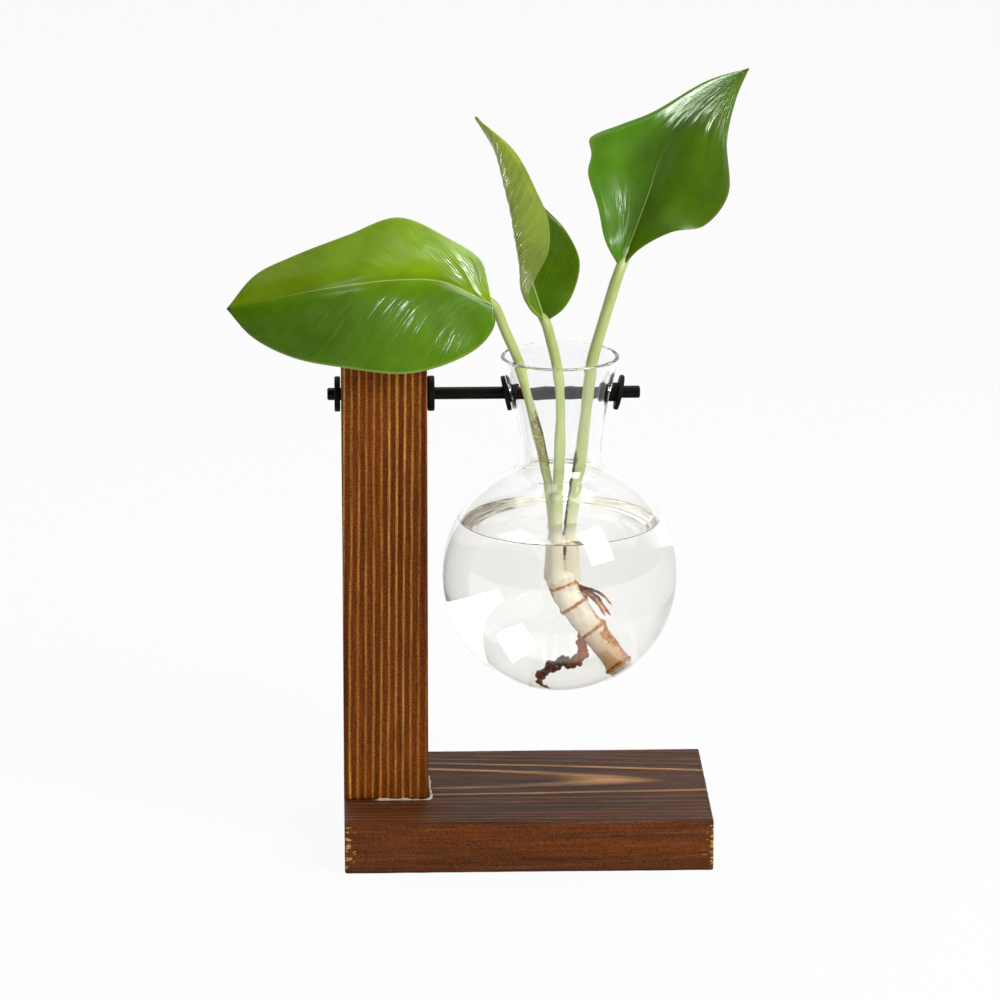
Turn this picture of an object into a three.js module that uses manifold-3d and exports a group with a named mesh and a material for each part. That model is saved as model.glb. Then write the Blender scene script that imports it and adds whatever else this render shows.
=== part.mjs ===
// Hanging bulb vase: a glass flask of water with a rooted cutting, slung on a steel rod that runs
// through a timber post on a timber base board.
// Millimetres, +Z up. The origin is the centre of the board's underside, +X runs from the post
// towards the rod's free end and +Y runs to the back.

import * as THREE from 'three';
import { mergeVertices } from 'three/addons/utils/BufferGeometryUtils.js';
import Module from 'manifold-3d';

// Clearances
const SEAT_GAP = 0.3; // between a piece and the one that it is seated in or on
const TURN_GAP = 0.2; // between faces that turn past each other
const WATER_GAP = 0.4; // between the water and what it wets

// Timber stand
const BASE_LENGTH = 125;
const BASE_DEPTH = 80;
const BASE_THICKNESS = 18;
const POST_WIDTH = 29;
const POST_HEIGHT = 154; // above the board
const EDGE_CHAMFER = 0.6;

// Glue squeezed out along the post's foot, at the front and on the flask's side
const GLUE_WIDTH = 1.2;
const GLUE_HEIGHT = 0.8;
const GLUE_FRONT_RUN = 19;
const GLUE_SIDE_RUN = 26;

// Countersunk wood screws from below
const SCREW_LENGTH = 45;
const SCREW_DIAMETER = 4;
const SCREW_HEAD_DIAMETER = 8;
const SCREW_HEAD_HEIGHT = 3.5;
const SCREW_POINT_LENGTH = 6;
const SCREW_SUNK = 0.6; // head below the board's underside
const SCREW_SPACING = 14;
const RECESS_LENGTH = 4.4;
const RECESS_WIDTH = 1;
const RECESS_DEPTH = 1.8;

// Rod, and the rubber washers that hold it in the post
const ROD_DIAMETER = 4.2;
const ROD_BELOW_POST_TOP = 14.5;
const ROD_POST_OVERHANG = 2.4; // past the outer washer
const ROD_FREE_OVERHANG = 6.4; // past the outer grommet
const ROD_END_CHAMFER = 0.4;
const WASHER_DIAMETER = 12;
const WASHER_OUTER_THICKNESS = 2;
const WASHER_INNER_THICKNESS = 2.4;
const WASHER_CHAMFER = 0.5;

// Rubber grommets in the neck's holes
const FLANGE_DIAMETER = 12;
const FLANGE_THICKNESS = 1.5;
const SLEEVE_WALL = 0.8;
const SLEEVE_REACH = 1; // past the glass, inside the neck
const OUTER_STAND_OFF = 2.1; // the outer flange sits off the glass

// Flask, measured from the bulb's centre
const BULB_DIAMETER = 80;
const NECK_DIAMETER = 27.8;
const NECK_LENGTH = 35.4;
const RIM_DIAMETER = 40.6;
const FLARE_POWER = 1.5;
const SHOULDER_RADIUS = 6;
const GLASS_WALL = 1.6;
const HOLE_BELOW_RIM = 13;
const BULB_TO_POST = 5;
const WATER_LEVEL = 18.3;

// Cutting: the crown is where the three stalks meet the root stock
const CROWN_BELOW_WATER = 16;
const CROWN_FORWARD = 3.1;
const CROWN_RADIUS = 4.7;
const STOCK_RADIUS = 3.3;
const STOCK_END_GAP = 2; // from the cut end to the glass
const STOCK_DROP = 8;
const STOCK_RUN = 14;
const STOCK_END_AIM = [0.54, -0.16, -0.83]; // from the bulb's centre
const STOCK_END_SLOPE = [0.5, 0, -0.86];
const STOCK_JOINTS = [0.3, 0.54, 0.9]; // along the stock
const JOINT_RISE = 0.6;
const JOINT_SPREAD = 0.035;
const STALK_TO_ROD = 2.4;
const STALK_LEAN = 1.4; // further forward at the rim than at the rod
const STALK_TO_GLASS = 0.4;
const BLADE_THICKNESS = 0.8;
const LONG_ROOT_RADIUS = 1.1;
const LONG_ROOT_TIP_RADIUS = 0.5;
const LONG_ROOT_PLACE = 0.5;
const TUFT_RADIUS = 0.5;
const ROOT_STUB = 1.5; // a root leaves the stock squarely for this far
const TUFT_PLACE = 0.14;

// Stalks. neck, rod and rim say how far the stalk leans to a side there, as a share of the free
// half-width of the bore. crown and water are offsets in plan, and end is counted from the rim.
const STALKS = {
  left: {
    footRadius: 1.5,
    endRadius: 1.7,
    crown: [-2.2, 1.6],
    water: [-2.4, 2.7],
    neckForward: 3.2,
    neck: -0.58,
    rod: -0.89,
    rim: -0.97,
    end: [-9, -2.5, 20.5],
  },
  middle: {
    footRadius: 1.9,
    endRadius: 1.75,
    crown: [-0.9, -1.9],
    water: [-1.3, -2.1],
    neckForward: 5.8,
    neck: -0.05,
    rod: -0.02,
    rim: -0.12,
    end: [-3.4, -1.2, 13.3],
  },
  right: {
    footRadius: 2.1,
    endRadius: 1.9,
    crown: [3, 0.5],
    water: [3.6, 0.1],
    neckForward: 4.6,
    neck: 0.76,
    rod: 0.78,
    rim: 0.75,
    end: [9, -1.5, 31.5],
  },
};

// Blades, as rails that run from the blade's base to its tip, counted from the base. The middle
// blade is rolled: its left half turns back along the fold and shows its underside.
const BLADES = {
  left: {
    tip: [-88.5, -8, 1],
    upperEdge: [
      [-1.5, 1, 7.5], [-3.5, 2.5, 14], [-15, 4, 22], [-31, 6, 28.5],
      [-48.5, 4, 23], [-67.5, 0, 16.5], [-79, -4, 11.5],
    ],
    midrib: [[-16.5, -2, 8], [-30, -4, 9.5], [-46.5, -6, 8.5], [-66.5, -7.5, 5.5]],
    lowerEdge: [
      [1, -3, -6], [-3.5, -6, -12.5], [-13.5, -10, -17.5], [-28.5, -12.5, -20.5],
      [-49.5, -14, -18], [-67, -13, -14.5], [-80, -11, -8],
    ],
  },
  middle: {
    tip: [-23.5, 4, 69.5],
    rightEdge: [
      [6, 0, 4.5], [10, 3, 11], [11.5, 5, 20], [6.5, 7, 30.5],
      [-1, 8, 38.5], [-12.5, 6, 55],
    ],
    midrib: [[-2.5, 3, 7], [-5, 5, 15], [-7, 6, 27], [-10.5, 6, 42.5], [-15.5, 5, 56]],
    fold: [
      [-5, -2, 5], [-8, -0.5, 11], [-8.5, -1, 20], [-10.5, -2, 31.5],
      [-12.5, -2, 43.5], [-18, 1, 63.5],
    ],
    flapEdge: [
      [-6, -4, 9], [-3.5, -6, 17], [0.5, -8, 26], [0.5, -8, 36.5],
      [-3.5, -7, 46.5], [-10.5, -3, 59],
    ],
  },
  right: {
    tip: [43.5, 13, 65.5],
    leftEdge: [
      [-5, -2, 9.5], [-7.5, -3, 21], [-11, -1, 33.5], [-10.5, 3, 44],
      [11, 9, 51.5], [29.5, 12, 61.5],
    ],
    midrib: [[4.5, 1, 11], [10, 3, 26], [13.5, 5, 36.5], [23.5, 9, 51]],
    rightEdge: [
      [6.5, -3, 7], [17, -7, 13.5], [27.5, -9, 16], [35.5, -7, 26],
      [35.5, -1, 43.5], [39, 6, 56.5],
    ],
  },
};

// Roots, as shares of the bulb's inner radius from its centre: they follow the bowl
const LONG_ROOT = [
  [0.1, -0.13, -0.52],
  [0.1, -0.13, -0.6],
  [0.03, -0.13, -0.61],
  [-0.055, -0.13, -0.64],
  [-0.15, -0.13, -0.71],
  [-0.075, -0.13, -0.82],
];
const TUFT_STRANDS = [
  [[0.27, -0.13, -0.1], [0.36, -0.13, -0.19]],
  [[0.24, -0.17, -0.14], [0.31, -0.18, -0.25]],
  [[0.23, -0.08, -0.12], [0.34, -0.07, -0.27]],
];

// Facets
const ROUND_SIDES = 24;
const GLASS_SIDES = 32;
const BULB_STEPS = 12;
const FILLET_STEPS = 4;
const FLARE_STEPS = 5;
const LIP_STEPS = 4;
const STALK_SIDES = 8;
const STALK_STEPS = 18;
const STOCK_STEPS = 24;
const ROOT_SIDES = 6;
const ROOT_STEPS = 18;
const TUFT_STEPS = 6;
const BLADE_STEPS = 14;
const BLADE_ACROSS = 6;
const OVERRUN = 5; // a cutter runs this far past the wall that it cuts

// Derived places
const POST_X = (POST_WIDTH - BASE_LENGTH) / 2;
const POST_LEFT = POST_X - POST_WIDTH / 2;
const POST_RIGHT = POST_X + POST_WIDTH / 2;
const POST_FRONT = -POST_WIDTH / 2;
const ROD_RADIUS = ROD_DIAMETER / 2;
const ROD_Z = BASE_THICKNESS + POST_HEIGHT - ROD_BELOW_POST_TOP;
const BULB_RADIUS = BULB_DIAMETER / 2;
const BULB_INNER = BULB_RADIUS - GLASS_WALL;
const NECK_RADIUS = NECK_DIAMETER / 2;
const FLARE_RISE = RIM_DIAMETER / 2 - NECK_RADIUS;
const SHOULDER_R = NECK_RADIUS + SHOULDER_RADIUS;
const NECK_FOOT = Math.sqrt((BULB_RADIUS + SHOULDER_RADIUS) ** 2 - SHOULDER_R ** 2);
const SHOULDER_ANGLE = Math.atan2(NECK_FOOT, SHOULDER_R);
const RIM_HEIGHT = NECK_FOOT + NECK_LENGTH;
const HOLE_HEIGHT = RIM_HEIGHT - HOLE_BELOW_RIM;
const FLASK_X = POST_RIGHT + BULB_TO_POST + BULB_RADIUS;
const FLASK_Z = ROD_Z - HOLE_HEIGHT;
const HOLE_OUTER_R = neckRadius(HOLE_HEIGHT);
const HOLE_SLOPE = Math.atan(neckSlope(HOLE_HEIGHT));
const SLEEVE_RADIUS = ROD_RADIUS + SEAT_GAP + SLEEVE_WALL;
const WASHER_LEFT = POST_LEFT - TURN_GAP - WASHER_OUTER_THICKNESS;
const ROD_LEFT = WASHER_LEFT - ROD_POST_OVERHANG;
const ROD_RIGHT = FLASK_X + HOLE_OUTER_R + OUTER_STAND_OFF + FLANGE_THICKNESS + ROD_FREE_OVERHANG;
const CROWN_HEIGHT = WATER_LEVEL - CROWN_BELOW_WATER;

const wasm = await Module();
wasm.setup();

// Outer radius of the flared neck at a height above the bulb's centre
function neckRadius(z) {
  const share = Math.max(z - NECK_FOOT, 0) / NECK_LENGTH;
  return NECK_RADIUS + FLARE_RISE * share ** FLARE_POWER;
}

function neckSlope(z) {
  const share = Math.max(z - NECK_FOOT, 0) / NECK_LENGTH;
  return (FLARE_RISE * FLARE_POWER * share ** (FLARE_POWER - 1)) / NECK_LENGTH;
}

// A plain indexed mesh with shared vertices, no empty triangles and its faces pointing out
function closed(geometry) {
  geometry.deleteAttribute('normal');
  geometry.deleteAttribute('uv');
  const merged = mergeVertices(geometry.index ? geometry.toNonIndexed() : geometry);
  const position = merged.attributes.position;
  const [a, b, c] = [new THREE.Vector3(), new THREE.Vector3(), new THREE.Vector3()];
  const kept = [];
  let volume = 0;
  for (let i = 0; i < merged.index.count; i += 3) {
    const [p, q, r] = [0, 1, 2].map((k) => merged.index.getX(i + k));
    if (p === q || q === r || r === p) continue;
    kept.push([p, q, r]);
    a.fromBufferAttribute(position, p);
    b.fromBufferAttribute(position, q);
    c.fromBufferAttribute(position, r);
    volume += a.dot(b.cross(c));
  }
  merged.setIndex(kept.flatMap(([p, q, r]) => (volume < 0 ? [p, r, q] : [p, q, r])));
  return merged;
}

function toSolid(geometry) {
  const mesh = closed(geometry);
  return new wasm.Manifold(
    new wasm.Mesh({
      numProp: 3,
      vertProperties: Float32Array.from(mesh.attributes.position.array),
      triVerts: Uint32Array.from(mesh.index.array),
    }),
  );
}

function toGeometry(solid) {
  const mesh = solid.getMesh();
  const geometry = new THREE.BufferGeometry();
  geometry.setAttribute('position', new THREE.BufferAttribute(mesh.vertProperties, 3));
  geometry.setIndex(new THREE.BufferAttribute(mesh.triVerts, 1));
  return geometry;
}

function cut(body, cutters) {
  return toGeometry(cutters.reduce((rest, cutter) => rest.subtract(toSolid(cutter)), toSolid(body)));
}

function join(bodies) {
  const [first, ...others] = bodies.map(toSolid);
  return toGeometry(others.reduce((sum, body) => sum.add(body), first));
}

// A solid of revolution about Z from a profile of [radius, height] points
function turned(profile, sides = ROUND_SIDES) {
  const points = profile.map(([radius, height]) => new THREE.Vector2(radius, height));
  return new THREE.LatheGeometry(points, sides).rotateX(Math.PI / 2);
}

// The same about X, with the heights counted along X
function turnedAlongX(profile, sides = ROUND_SIDES) {
  return turned(profile, sides).rotateY(Math.PI / 2);
}

function pinAlongX(radius, from, to) {
  return turnedAlongX([[0, from], [radius, from], [radius, to], [0, to]]);
}

// A closed mesh from rings of points, with a single point at each end
function skinned(rings, first, last) {
  const count = rings[0].length;
  const triangles = [];
  for (let j = 0; j < count; j += 1) {
    const k = (j + 1) % count;
    triangles.push(first, rings[0][k], rings[0][j]);
    triangles.push(last, rings.at(-1)[j], rings.at(-1)[k]);
    for (let i = 1; i < rings.length; i += 1) {
      const [low, high] = [rings[i - 1], rings[i]];
      triangles.push(low[j], low[k], high[k]);
      triangles.push(low[j], high[k], high[j]);
    }
  }
  return closed(new THREE.BufferGeometry().setFromPoints(triangles));
}

// A round tube along a curve, with the radius given along its length. A clearance fattens it and
// runs it on at both ends.
function taperedTube(curve, radiusAt, steps, sides, clearance) {
  const { tangents, normals, binormals } = curve.computeFrenetFrames(steps, false);
  const centres = curve.getSpacedPoints(steps);
  centres[0].addScaledVector(tangents[0], -clearance);
  centres[steps].addScaledVector(tangents[steps], clearance);
  const rings = centres.map((centre, i) => {
    const radius = radiusAt(i / steps) + clearance;
    return Array.from({ length: sides }, (_, j) => {
      const angle = (2 * Math.PI * j) / sides;
      return centre
        .clone()
        .addScaledVector(normals[i], radius * Math.cos(angle))
        .addScaledVector(binormals[i], radius * Math.sin(angle));
    });
  });
  return skinned(rings, centres[0], centres[steps]);
}

function timber(length, depth, height) {
  const [halfLength, halfDepth] = [length / 2 - EDGE_CHAMFER, depth / 2 - EDGE_CHAMFER];
  const outline = new THREE.Shape()
    .moveTo(-halfLength, -halfDepth)
    .lineTo(halfLength, -halfDepth)
    .lineTo(halfLength, halfDepth)
    .lineTo(-halfLength, halfDepth)
    .closePath();
  const block = new THREE.ExtrudeGeometry(outline, {
    depth: height - 2 * EDGE_CHAMFER,
    bevelSize: EDGE_CHAMFER,
    bevelThickness: EDGE_CHAMFER,
    bevelSegments: 1,
  });
  return block.translate(0, 0, EDGE_CHAMFER);
}

function screwPlaces() {
  return [-1, 1].map((side) => [POST_X, (side * SCREW_SPACING) / 2, SCREW_SUNK]);
}

function screw() {
  const [head, shank] = [SCREW_HEAD_DIAMETER / 2, SCREW_DIAMETER / 2];
  const body = turned([
    [0, 0],
    [head, 0],
    [shank, SCREW_HEAD_HEIGHT],
    [shank, SCREW_LENGTH - SCREW_POINT_LENGTH],
    [0, SCREW_LENGTH],
  ]);
  const slots = [
    new THREE.BoxGeometry(RECESS_LENGTH, RECESS_WIDTH, 2 * RECESS_DEPTH),
    new THREE.BoxGeometry(RECESS_WIDTH, RECESS_LENGTH, 2 * RECESS_DEPTH),
  ];
  return cut(body, slots);
}

// What a screw needs cut away, from below the board to past its point
function screwHoles() {
  const [head, shank] = [SCREW_HEAD_DIAMETER / 2 + SEAT_GAP, SCREW_DIAMETER / 2 + SEAT_GAP];
  return screwPlaces().map((place) =>
    turned([
      [0, -OVERRUN],
      [head, -OVERRUN],
      [head, 0],
      [shank, SCREW_HEAD_HEIGHT],
      [shank, SCREW_LENGTH],
      [0, SCREW_LENGTH + SEAT_GAP],
    ]).translate(...place),
  );
}

function baseBoard() {
  return cut(timber(BASE_LENGTH, BASE_DEPTH, BASE_THICKNESS), screwHoles());
}

function post() {
  const block = timber(POST_WIDTH, POST_WIDTH, POST_HEIGHT).translate(POST_X, 0, BASE_THICKNESS);
  const bore = pinAlongX(ROD_RADIUS + SEAT_GAP, POST_LEFT - OVERRUN, POST_RIGHT + OVERRUN);
  return cut(block, [...screwHoles(), bore.translate(0, 0, ROD_Z)]);
}

function glueBead() {
  const outline = new THREE.Shape()
    .moveTo(POST_RIGHT - GLUE_FRONT_RUN, POST_FRONT)
    .lineTo(POST_RIGHT - GLUE_FRONT_RUN, POST_FRONT - GLUE_WIDTH)
    .lineTo(POST_RIGHT + GLUE_WIDTH, POST_FRONT - GLUE_WIDTH)
    .lineTo(POST_RIGHT + GLUE_WIDTH, POST_FRONT + GLUE_SIDE_RUN)
    .lineTo(POST_RIGHT, POST_FRONT + GLUE_SIDE_RUN)
    .lineTo(POST_RIGHT, POST_FRONT)
    .closePath();
  const bead = new THREE.ExtrudeGeometry(outline, { depth: GLUE_HEIGHT, bevelEnabled: false });
  return bead.translate(0, 0, BASE_THICKNESS);
}

function rod() {
  const neck = ROD_RADIUS - ROD_END_CHAMFER;
  return turnedAlongX([
    [0, ROD_LEFT],
    [neck, ROD_LEFT],
    [ROD_RADIUS, ROD_LEFT + ROD_END_CHAMFER],
    [ROD_RADIUS, ROD_RIGHT - ROD_END_CHAMFER],
    [neck, ROD_RIGHT],
    [0, ROD_RIGHT],
  ]);
}

// A ring on the rod with its rim chamfered on both faces
function washer(left, thickness) {
  const [bore, rim, right] = [ROD_RADIUS + SEAT_GAP, WASHER_DIAMETER / 2, left + thickness];
  return turnedAlongX([
    [bore, left],
    [rim - WASHER_CHAMFER, left],
    [rim, left + WASHER_CHAMFER],
    [rim, right - WASHER_CHAMFER],
    [rim - WASHER_CHAMFER, right],
    [bore, right],
    [bore, left],
  ]);
}

// A flange that lies along the flare and a sleeve that lines the hole, on the +X side of the neck
function grommet(standOff) {
  const rimX = HOLE_OUTER_R + standOff;
  const flange = pinAlongX(FLANGE_DIAMETER / 2, 0, FLANGE_THICKNESS)
    .rotateY(HOLE_SLOPE)
    .translate(rimX, 0, 0);
  const inside = HOLE_OUTER_R - GLASS_WALL / Math.cos(HOLE_SLOPE) - SLEEVE_REACH;
  const sleeve = pinAlongX(SLEEVE_RADIUS, inside, rimX + FLANGE_THICKNESS / 2);
  const bore = pinAlongX(ROD_RADIUS + SEAT_GAP, inside - OVERRUN, rimX + FLANGE_THICKNESS + OVERRUN);
  return cut(join([flange, sleeve]), [bore]);
}

// Profile of one face of the flask, from the bottom to the lip, set in from the outer face
function flaskFace(inset) {
  const points = [];
  for (let i = 0; i <= BULB_STEPS; i += 1) {
    const angle = -Math.PI / 2 + ((SHOULDER_ANGLE + Math.PI / 2) * i) / BULB_STEPS;
    const radius = i === 0 ? 0 : (BULB_RADIUS - inset) * Math.cos(angle);
    points.push([radius, (BULB_RADIUS - inset) * Math.sin(angle)]);
  }
  for (let i = 1; i <= FILLET_STEPS; i += 1) {
    const angle = Math.PI + SHOULDER_ANGLE * (1 - i / FILLET_STEPS);
    const radius = SHOULDER_RADIUS + inset;
    points.push([SHOULDER_R + radius * Math.cos(angle), NECK_FOOT + radius * Math.sin(angle)]);
  }
  for (let i = 1; i <= FLARE_STEPS; i += 1) {
    const z = NECK_FOOT + ((NECK_LENGTH - GLASS_WALL / 2) * i) / FLARE_STEPS;
    points.push([neckRadius(z) - inset, z]);
  }
  return points;
}

function flask() {
  const outer = flaskFace(0);
  const inner = flaskFace(GLASS_WALL).reverse();
  const [lipRadius, lipHeight] = outer.at(-1);
  const lip = [];
  for (let i = 1; i < LIP_STEPS; i += 1) {
    const angle = (Math.PI * i) / LIP_STEPS;
    const reach = GLASS_WALL / 2;
    lip.push([lipRadius - reach + reach * Math.cos(angle), lipHeight + reach * Math.sin(angle)]);
  }
  const hole = pinAlongX(SLEEVE_RADIUS + SEAT_GAP, -RIM_DIAMETER, RIM_DIAMETER);
  return cut(turned([...outer, ...lip, ...inner], GLASS_SIDES), [hole.translate(0, 0, HOLE_HEIGHT)]);
}

// A stalk's place in the bore at a height: leaning to a side by a share of the free half-width
function inBore(z, share, forward, radius) {
  const free = neckRadius(z) - GLASS_WALL - radius - STALK_TO_GLASS;
  return new THREE.Vector3(share * Math.sqrt(free ** 2 - forward ** 2), -forward, z);
}

function stalkCurve({ footRadius, endRadius, crown, water, neckForward, neck, rod: rodShare, rim, end }) {
  const radius = Math.max(footRadius, endRadius);
  const rodForward = ROD_RADIUS + STALK_TO_ROD + radius;
  const rimPoint = inBore(RIM_HEIGHT, rim, rodForward + STALK_LEAN, radius);
  return new THREE.CatmullRomCurve3([
    new THREE.Vector3(crown[0], crown[1] - CROWN_FORWARD, CROWN_HEIGHT + SEAT_GAP),
    new THREE.Vector3(water[0], water[1] - CROWN_FORWARD, WATER_LEVEL),
    inBore(NECK_FOOT, neck, neckForward, radius),
    inBore(HOLE_HEIGHT, rodShare, rodForward, radius),
    rimPoint,
    rimPoint.clone().add(new THREE.Vector3(...end)),
  ]);
}

function stalk(spec, clearance = 0) {
  const { footRadius, endRadius } = spec;
  const radiusAt = (t) => footRadius + (endRadius - footRadius) * t;
  return taperedTube(stalkCurve(spec), radiusAt, STALK_STEPS, STALK_SIDES, clearance);
}

// Where a blade starts: past the stalk's end, or in front of it where the blade hangs beside it
function bladeBase(side) {
  const spec = STALKS[side];
  const curve = stalkCurve(spec);
  const end = curve.getPointAt(1);
  if (side !== 'left') return end.addScaledVector(curve.getTangentAt(1), SEAT_GAP);
  end.y -= spec.endRadius + SEAT_GAP;
  return end;
}

// A thin blade lofted across its rails, with a sharp rim
function blade({ tip, ...rails }, base) {
  const place = (point) => base.clone().add(new THREE.Vector3(...point));
  const curves = Object.values(rails).map(
    (rail) => new THREE.CatmullRomCurve3([base, ...rail.map(place), place(tip)]),
  );
  const rows = [];
  for (let i = 1; i < BLADE_STEPS; i += 1) {
    const across = new THREE.CatmullRomCurve3(curves.map((curve) => curve.getPointAt(i / BLADE_STEPS)));
    rows.push(across.getPoints(BLADE_ACROSS));
  }
  const grid = [rows[0].map(() => base), ...rows, rows[0].map(() => place(tip))];
  const rings = rows.map((row, i) => {
    const faces = row.map((point, j) => {
      const along = grid[i + 2][j].clone().sub(grid[i][j]);
      const over = row[Math.min(j + 1, BLADE_ACROSS)].clone().sub(row[Math.max(j - 1, 0)]);
      const lift = along.cross(over).setLength(BLADE_THICKNESS / 2);
      return [point.clone().add(lift), point.clone().sub(lift)];
    });
    const inner = faces.slice(1, -1);
    const upper = inner.map(([face]) => face);
    const lower = inner.map(([, face]) => face).reverse();
    return [row[0], ...upper, row.at(-1), ...lower];
  });
  return skinned(rings, base, place(tip));
}

function stockCurve() {
  const aim = new THREE.Vector3(...STOCK_END_AIM).normalize();
  const slope = new THREE.Vector3(...STOCK_END_SLOPE).normalize();
  const start = new THREE.Vector3(0, -CROWN_FORWARD, CROWN_HEIGHT);
  const end = aim.multiplyScalar(BULB_INNER - STOCK_END_GAP - STOCK_RADIUS - JOINT_RISE);
  const dropped = start.clone().add(new THREE.Vector3(0, 0, -STOCK_DROP));
  return new THREE.CubicBezierCurve3(start, dropped, end.clone().addScaledVector(slope, -STOCK_RUN), end);
}

// The stock narrows from the crown and swells at its joints
function stockRadius(t) {
  const narrowing = (CROWN_RADIUS - STOCK_RADIUS) * (1 - t) ** 2;
  const swelling = STOCK_JOINTS.map((joint) => Math.exp(-(((t - joint) / JOINT_SPREAD) ** 2)));
  return STOCK_RADIUS + narrowing + JOINT_RISE * Math.max(...swelling);
}

function rootStock(clearance = 0) {
  return taperedTube(stockCurve(), stockRadius, STOCK_STEPS, STALK_SIDES, clearance);
}

// The first two points of a root that leaves the stock squarely, on its left (-1) or right (1) side
function rootFoot(t, side) {
  const curve = stockCurve();
  const outward = curve.getTangentAt(t).cross(new THREE.Vector3(0, side, 0)).normalize();
  const surface = stockRadius(t) + SEAT_GAP;
  return [surface, surface + ROOT_STUB].map((reach) => curve.getPointAt(t).addScaledVector(outward, reach));
}

function inBowl(share) {
  return new THREE.Vector3(...share).multiplyScalar(BULB_INNER);
}

function longRoot(clearance = 0) {
  const route = new THREE.CatmullRomCurve3([...rootFoot(LONG_ROOT_PLACE, -1), ...LONG_ROOT.map(inBowl)]);
  const radiusAt = (t) => LONG_ROOT_RADIUS + (LONG_ROOT_TIP_RADIUS - LONG_ROOT_RADIUS) * t;
  return taperedTube(route, radiusAt, ROOT_STEPS, ROOT_SIDES, clearance);
}

function rootTuft(clearance = 0) {
  const [foot, fork] = rootFoot(TUFT_PLACE, 1);
  const strands = TUFT_STRANDS.map((strand, i) => {
    const start = i === 0 ? [foot, fork] : [fork];
    const route = new THREE.CatmullRomCurve3([...start, ...strand.map(inBowl)]);
    return taperedTube(route, () => TUFT_RADIUS, TUFT_STEPS, ROOT_SIDES, clearance);
  });
  return join(strands);
}

// The filling: the bowl up to the level, less the room that the cutting takes
function water() {
  const radius = BULB_INNER - WATER_GAP;
  const top = Math.asin(WATER_LEVEL / radius);
  const profile = [[0, -radius]];
  for (let i = 1; i <= BULB_STEPS; i += 1) {
    const angle = -Math.PI / 2 + ((top + Math.PI / 2) * i) / BULB_STEPS;
    profile.push([radius * Math.cos(angle), radius * Math.sin(angle)]);
  }
  profile.push([0, WATER_LEVEL]);
  const wetted = [
    rootStock(WATER_GAP),
    longRoot(WATER_GAP),
    rootTuft(WATER_GAP),
    ...Object.values(STALKS).map((spec) => stalk(spec, WATER_GAP)),
  ];
  return cut(turned(profile, GLASS_SIDES), wetted);
}

function finish(color, roughness, metalness = 0, extra = {}) {
  return new THREE.MeshStandardMaterial({ color, roughness, metalness, ...extra });
}

const FINISHES = {
  board: finish('#4b3324', 0.7),
  post: finish('#5f3214', 0.65),
  glue: finish('#c9bda6', 0.6),
  screw: finish('#a8a49c', 0.35, 1),
  rod: finish('#141414', 0.4, 0.6),
  rubber: finish('#101010', 0.7),
  glass: finish('#eef4f2', 0.03, 0, { transparent: true, opacity: 0.25 }),
  water: finish('#e9f1ee', 0.02, 0, { transparent: true, opacity: 0.3 }),
  stock: finish('#e6d3a4', 0.6),
  stalk: finish('#b4c765', 0.5),
  leaf: finish('#5a9424', 0.4),
  root: finish('#4a2a1c', 0.8),
};

function piece(name, geometry, material) {
  const mesh = new THREE.Mesh(closed(geometry), material);
  mesh.name = name;
  return mesh;
}

function standGroup() {
  const group = new THREE.Group();
  group.add(piece('base_board', baseBoard(), FINISHES.board));
  group.add(piece('post', post(), FINISHES.post));
  group.add(piece('glue_bead', glueBead(), FINISHES.glue));
  ['foot_screw_front', 'foot_screw_back'].forEach((name, i) => {
    const mesh = piece(name, screw(), FINISHES.screw);
    mesh.position.set(...screwPlaces()[i]);
    group.add(mesh);
  });
  return group;
}

function rodGroup() {
  const group = new THREE.Group();
  const outer = washer(WASHER_LEFT, WASHER_OUTER_THICKNESS);
  const inner = washer(POST_RIGHT + TURN_GAP, WASHER_INNER_THICKNESS);
  group.add(piece('rod', rod(), FINISHES.rod));
  group.add(piece('post_washer_outer', outer, FINISHES.rubber));
  group.add(piece('post_washer_inner', inner, FINISHES.rubber));
  group.position.z = ROD_Z;
  return group;
}

function cuttingGroup() {
  const group = new THREE.Group();
  group.add(piece('rhizome', rootStock(), FINISHES.stock));
  group.add(piece('root_long', longRoot(), FINISHES.root));
  group.add(piece('root_tuft', rootTuft(), FINISHES.root));
  Object.entries(STALKS).forEach(([side, spec]) => {
    group.add(piece(`petiole_${side}`, stalk(spec), FINISHES.stalk));
    group.add(piece(`leaf_${side}`, blade(BLADES[side], bladeBase(side)), FINISHES.leaf));
  });
  return group;
}

function flaskGroup() {
  const group = new THREE.Group();
  group.add(piece('flask', flask(), FINISHES.glass));
  group.add(piece('water', water(), FINISHES.water));
  const outer = piece('neck_grommet_outer', grommet(OUTER_STAND_OFF), FINISHES.rubber);
  const inner = piece('neck_grommet_inner', grommet(SEAT_GAP), FINISHES.rubber);
  inner.rotation.z = Math.PI;
  [outer, inner].forEach((mesh) => {
    mesh.position.z = HOLE_HEIGHT;
    group.add(mesh);
  });
  group.add(cuttingGroup());
  group.position.set(FLASK_X, 0, FLASK_Z);
  return group;
}

const vase = new THREE.Group();
vase.add(standGroup(), rodGroup(), flaskGroup());

export default vase;
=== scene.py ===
"""Dresses the hanging bulb vase: a torched timber stand, a steel rod, a blown glass flask, its water and
the rooted cutting that grows in it. Sizes are in millimetres, in the part's own frame, where no other unit
is given."""

from __future__ import annotations

import functools
import itertools
import logging
import math
from dataclasses import dataclass
from enum import Enum
from typing import Any, Sequence

import bmesh
import bpy
import numpy as np
from mathutils import Matrix, Vector

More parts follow.
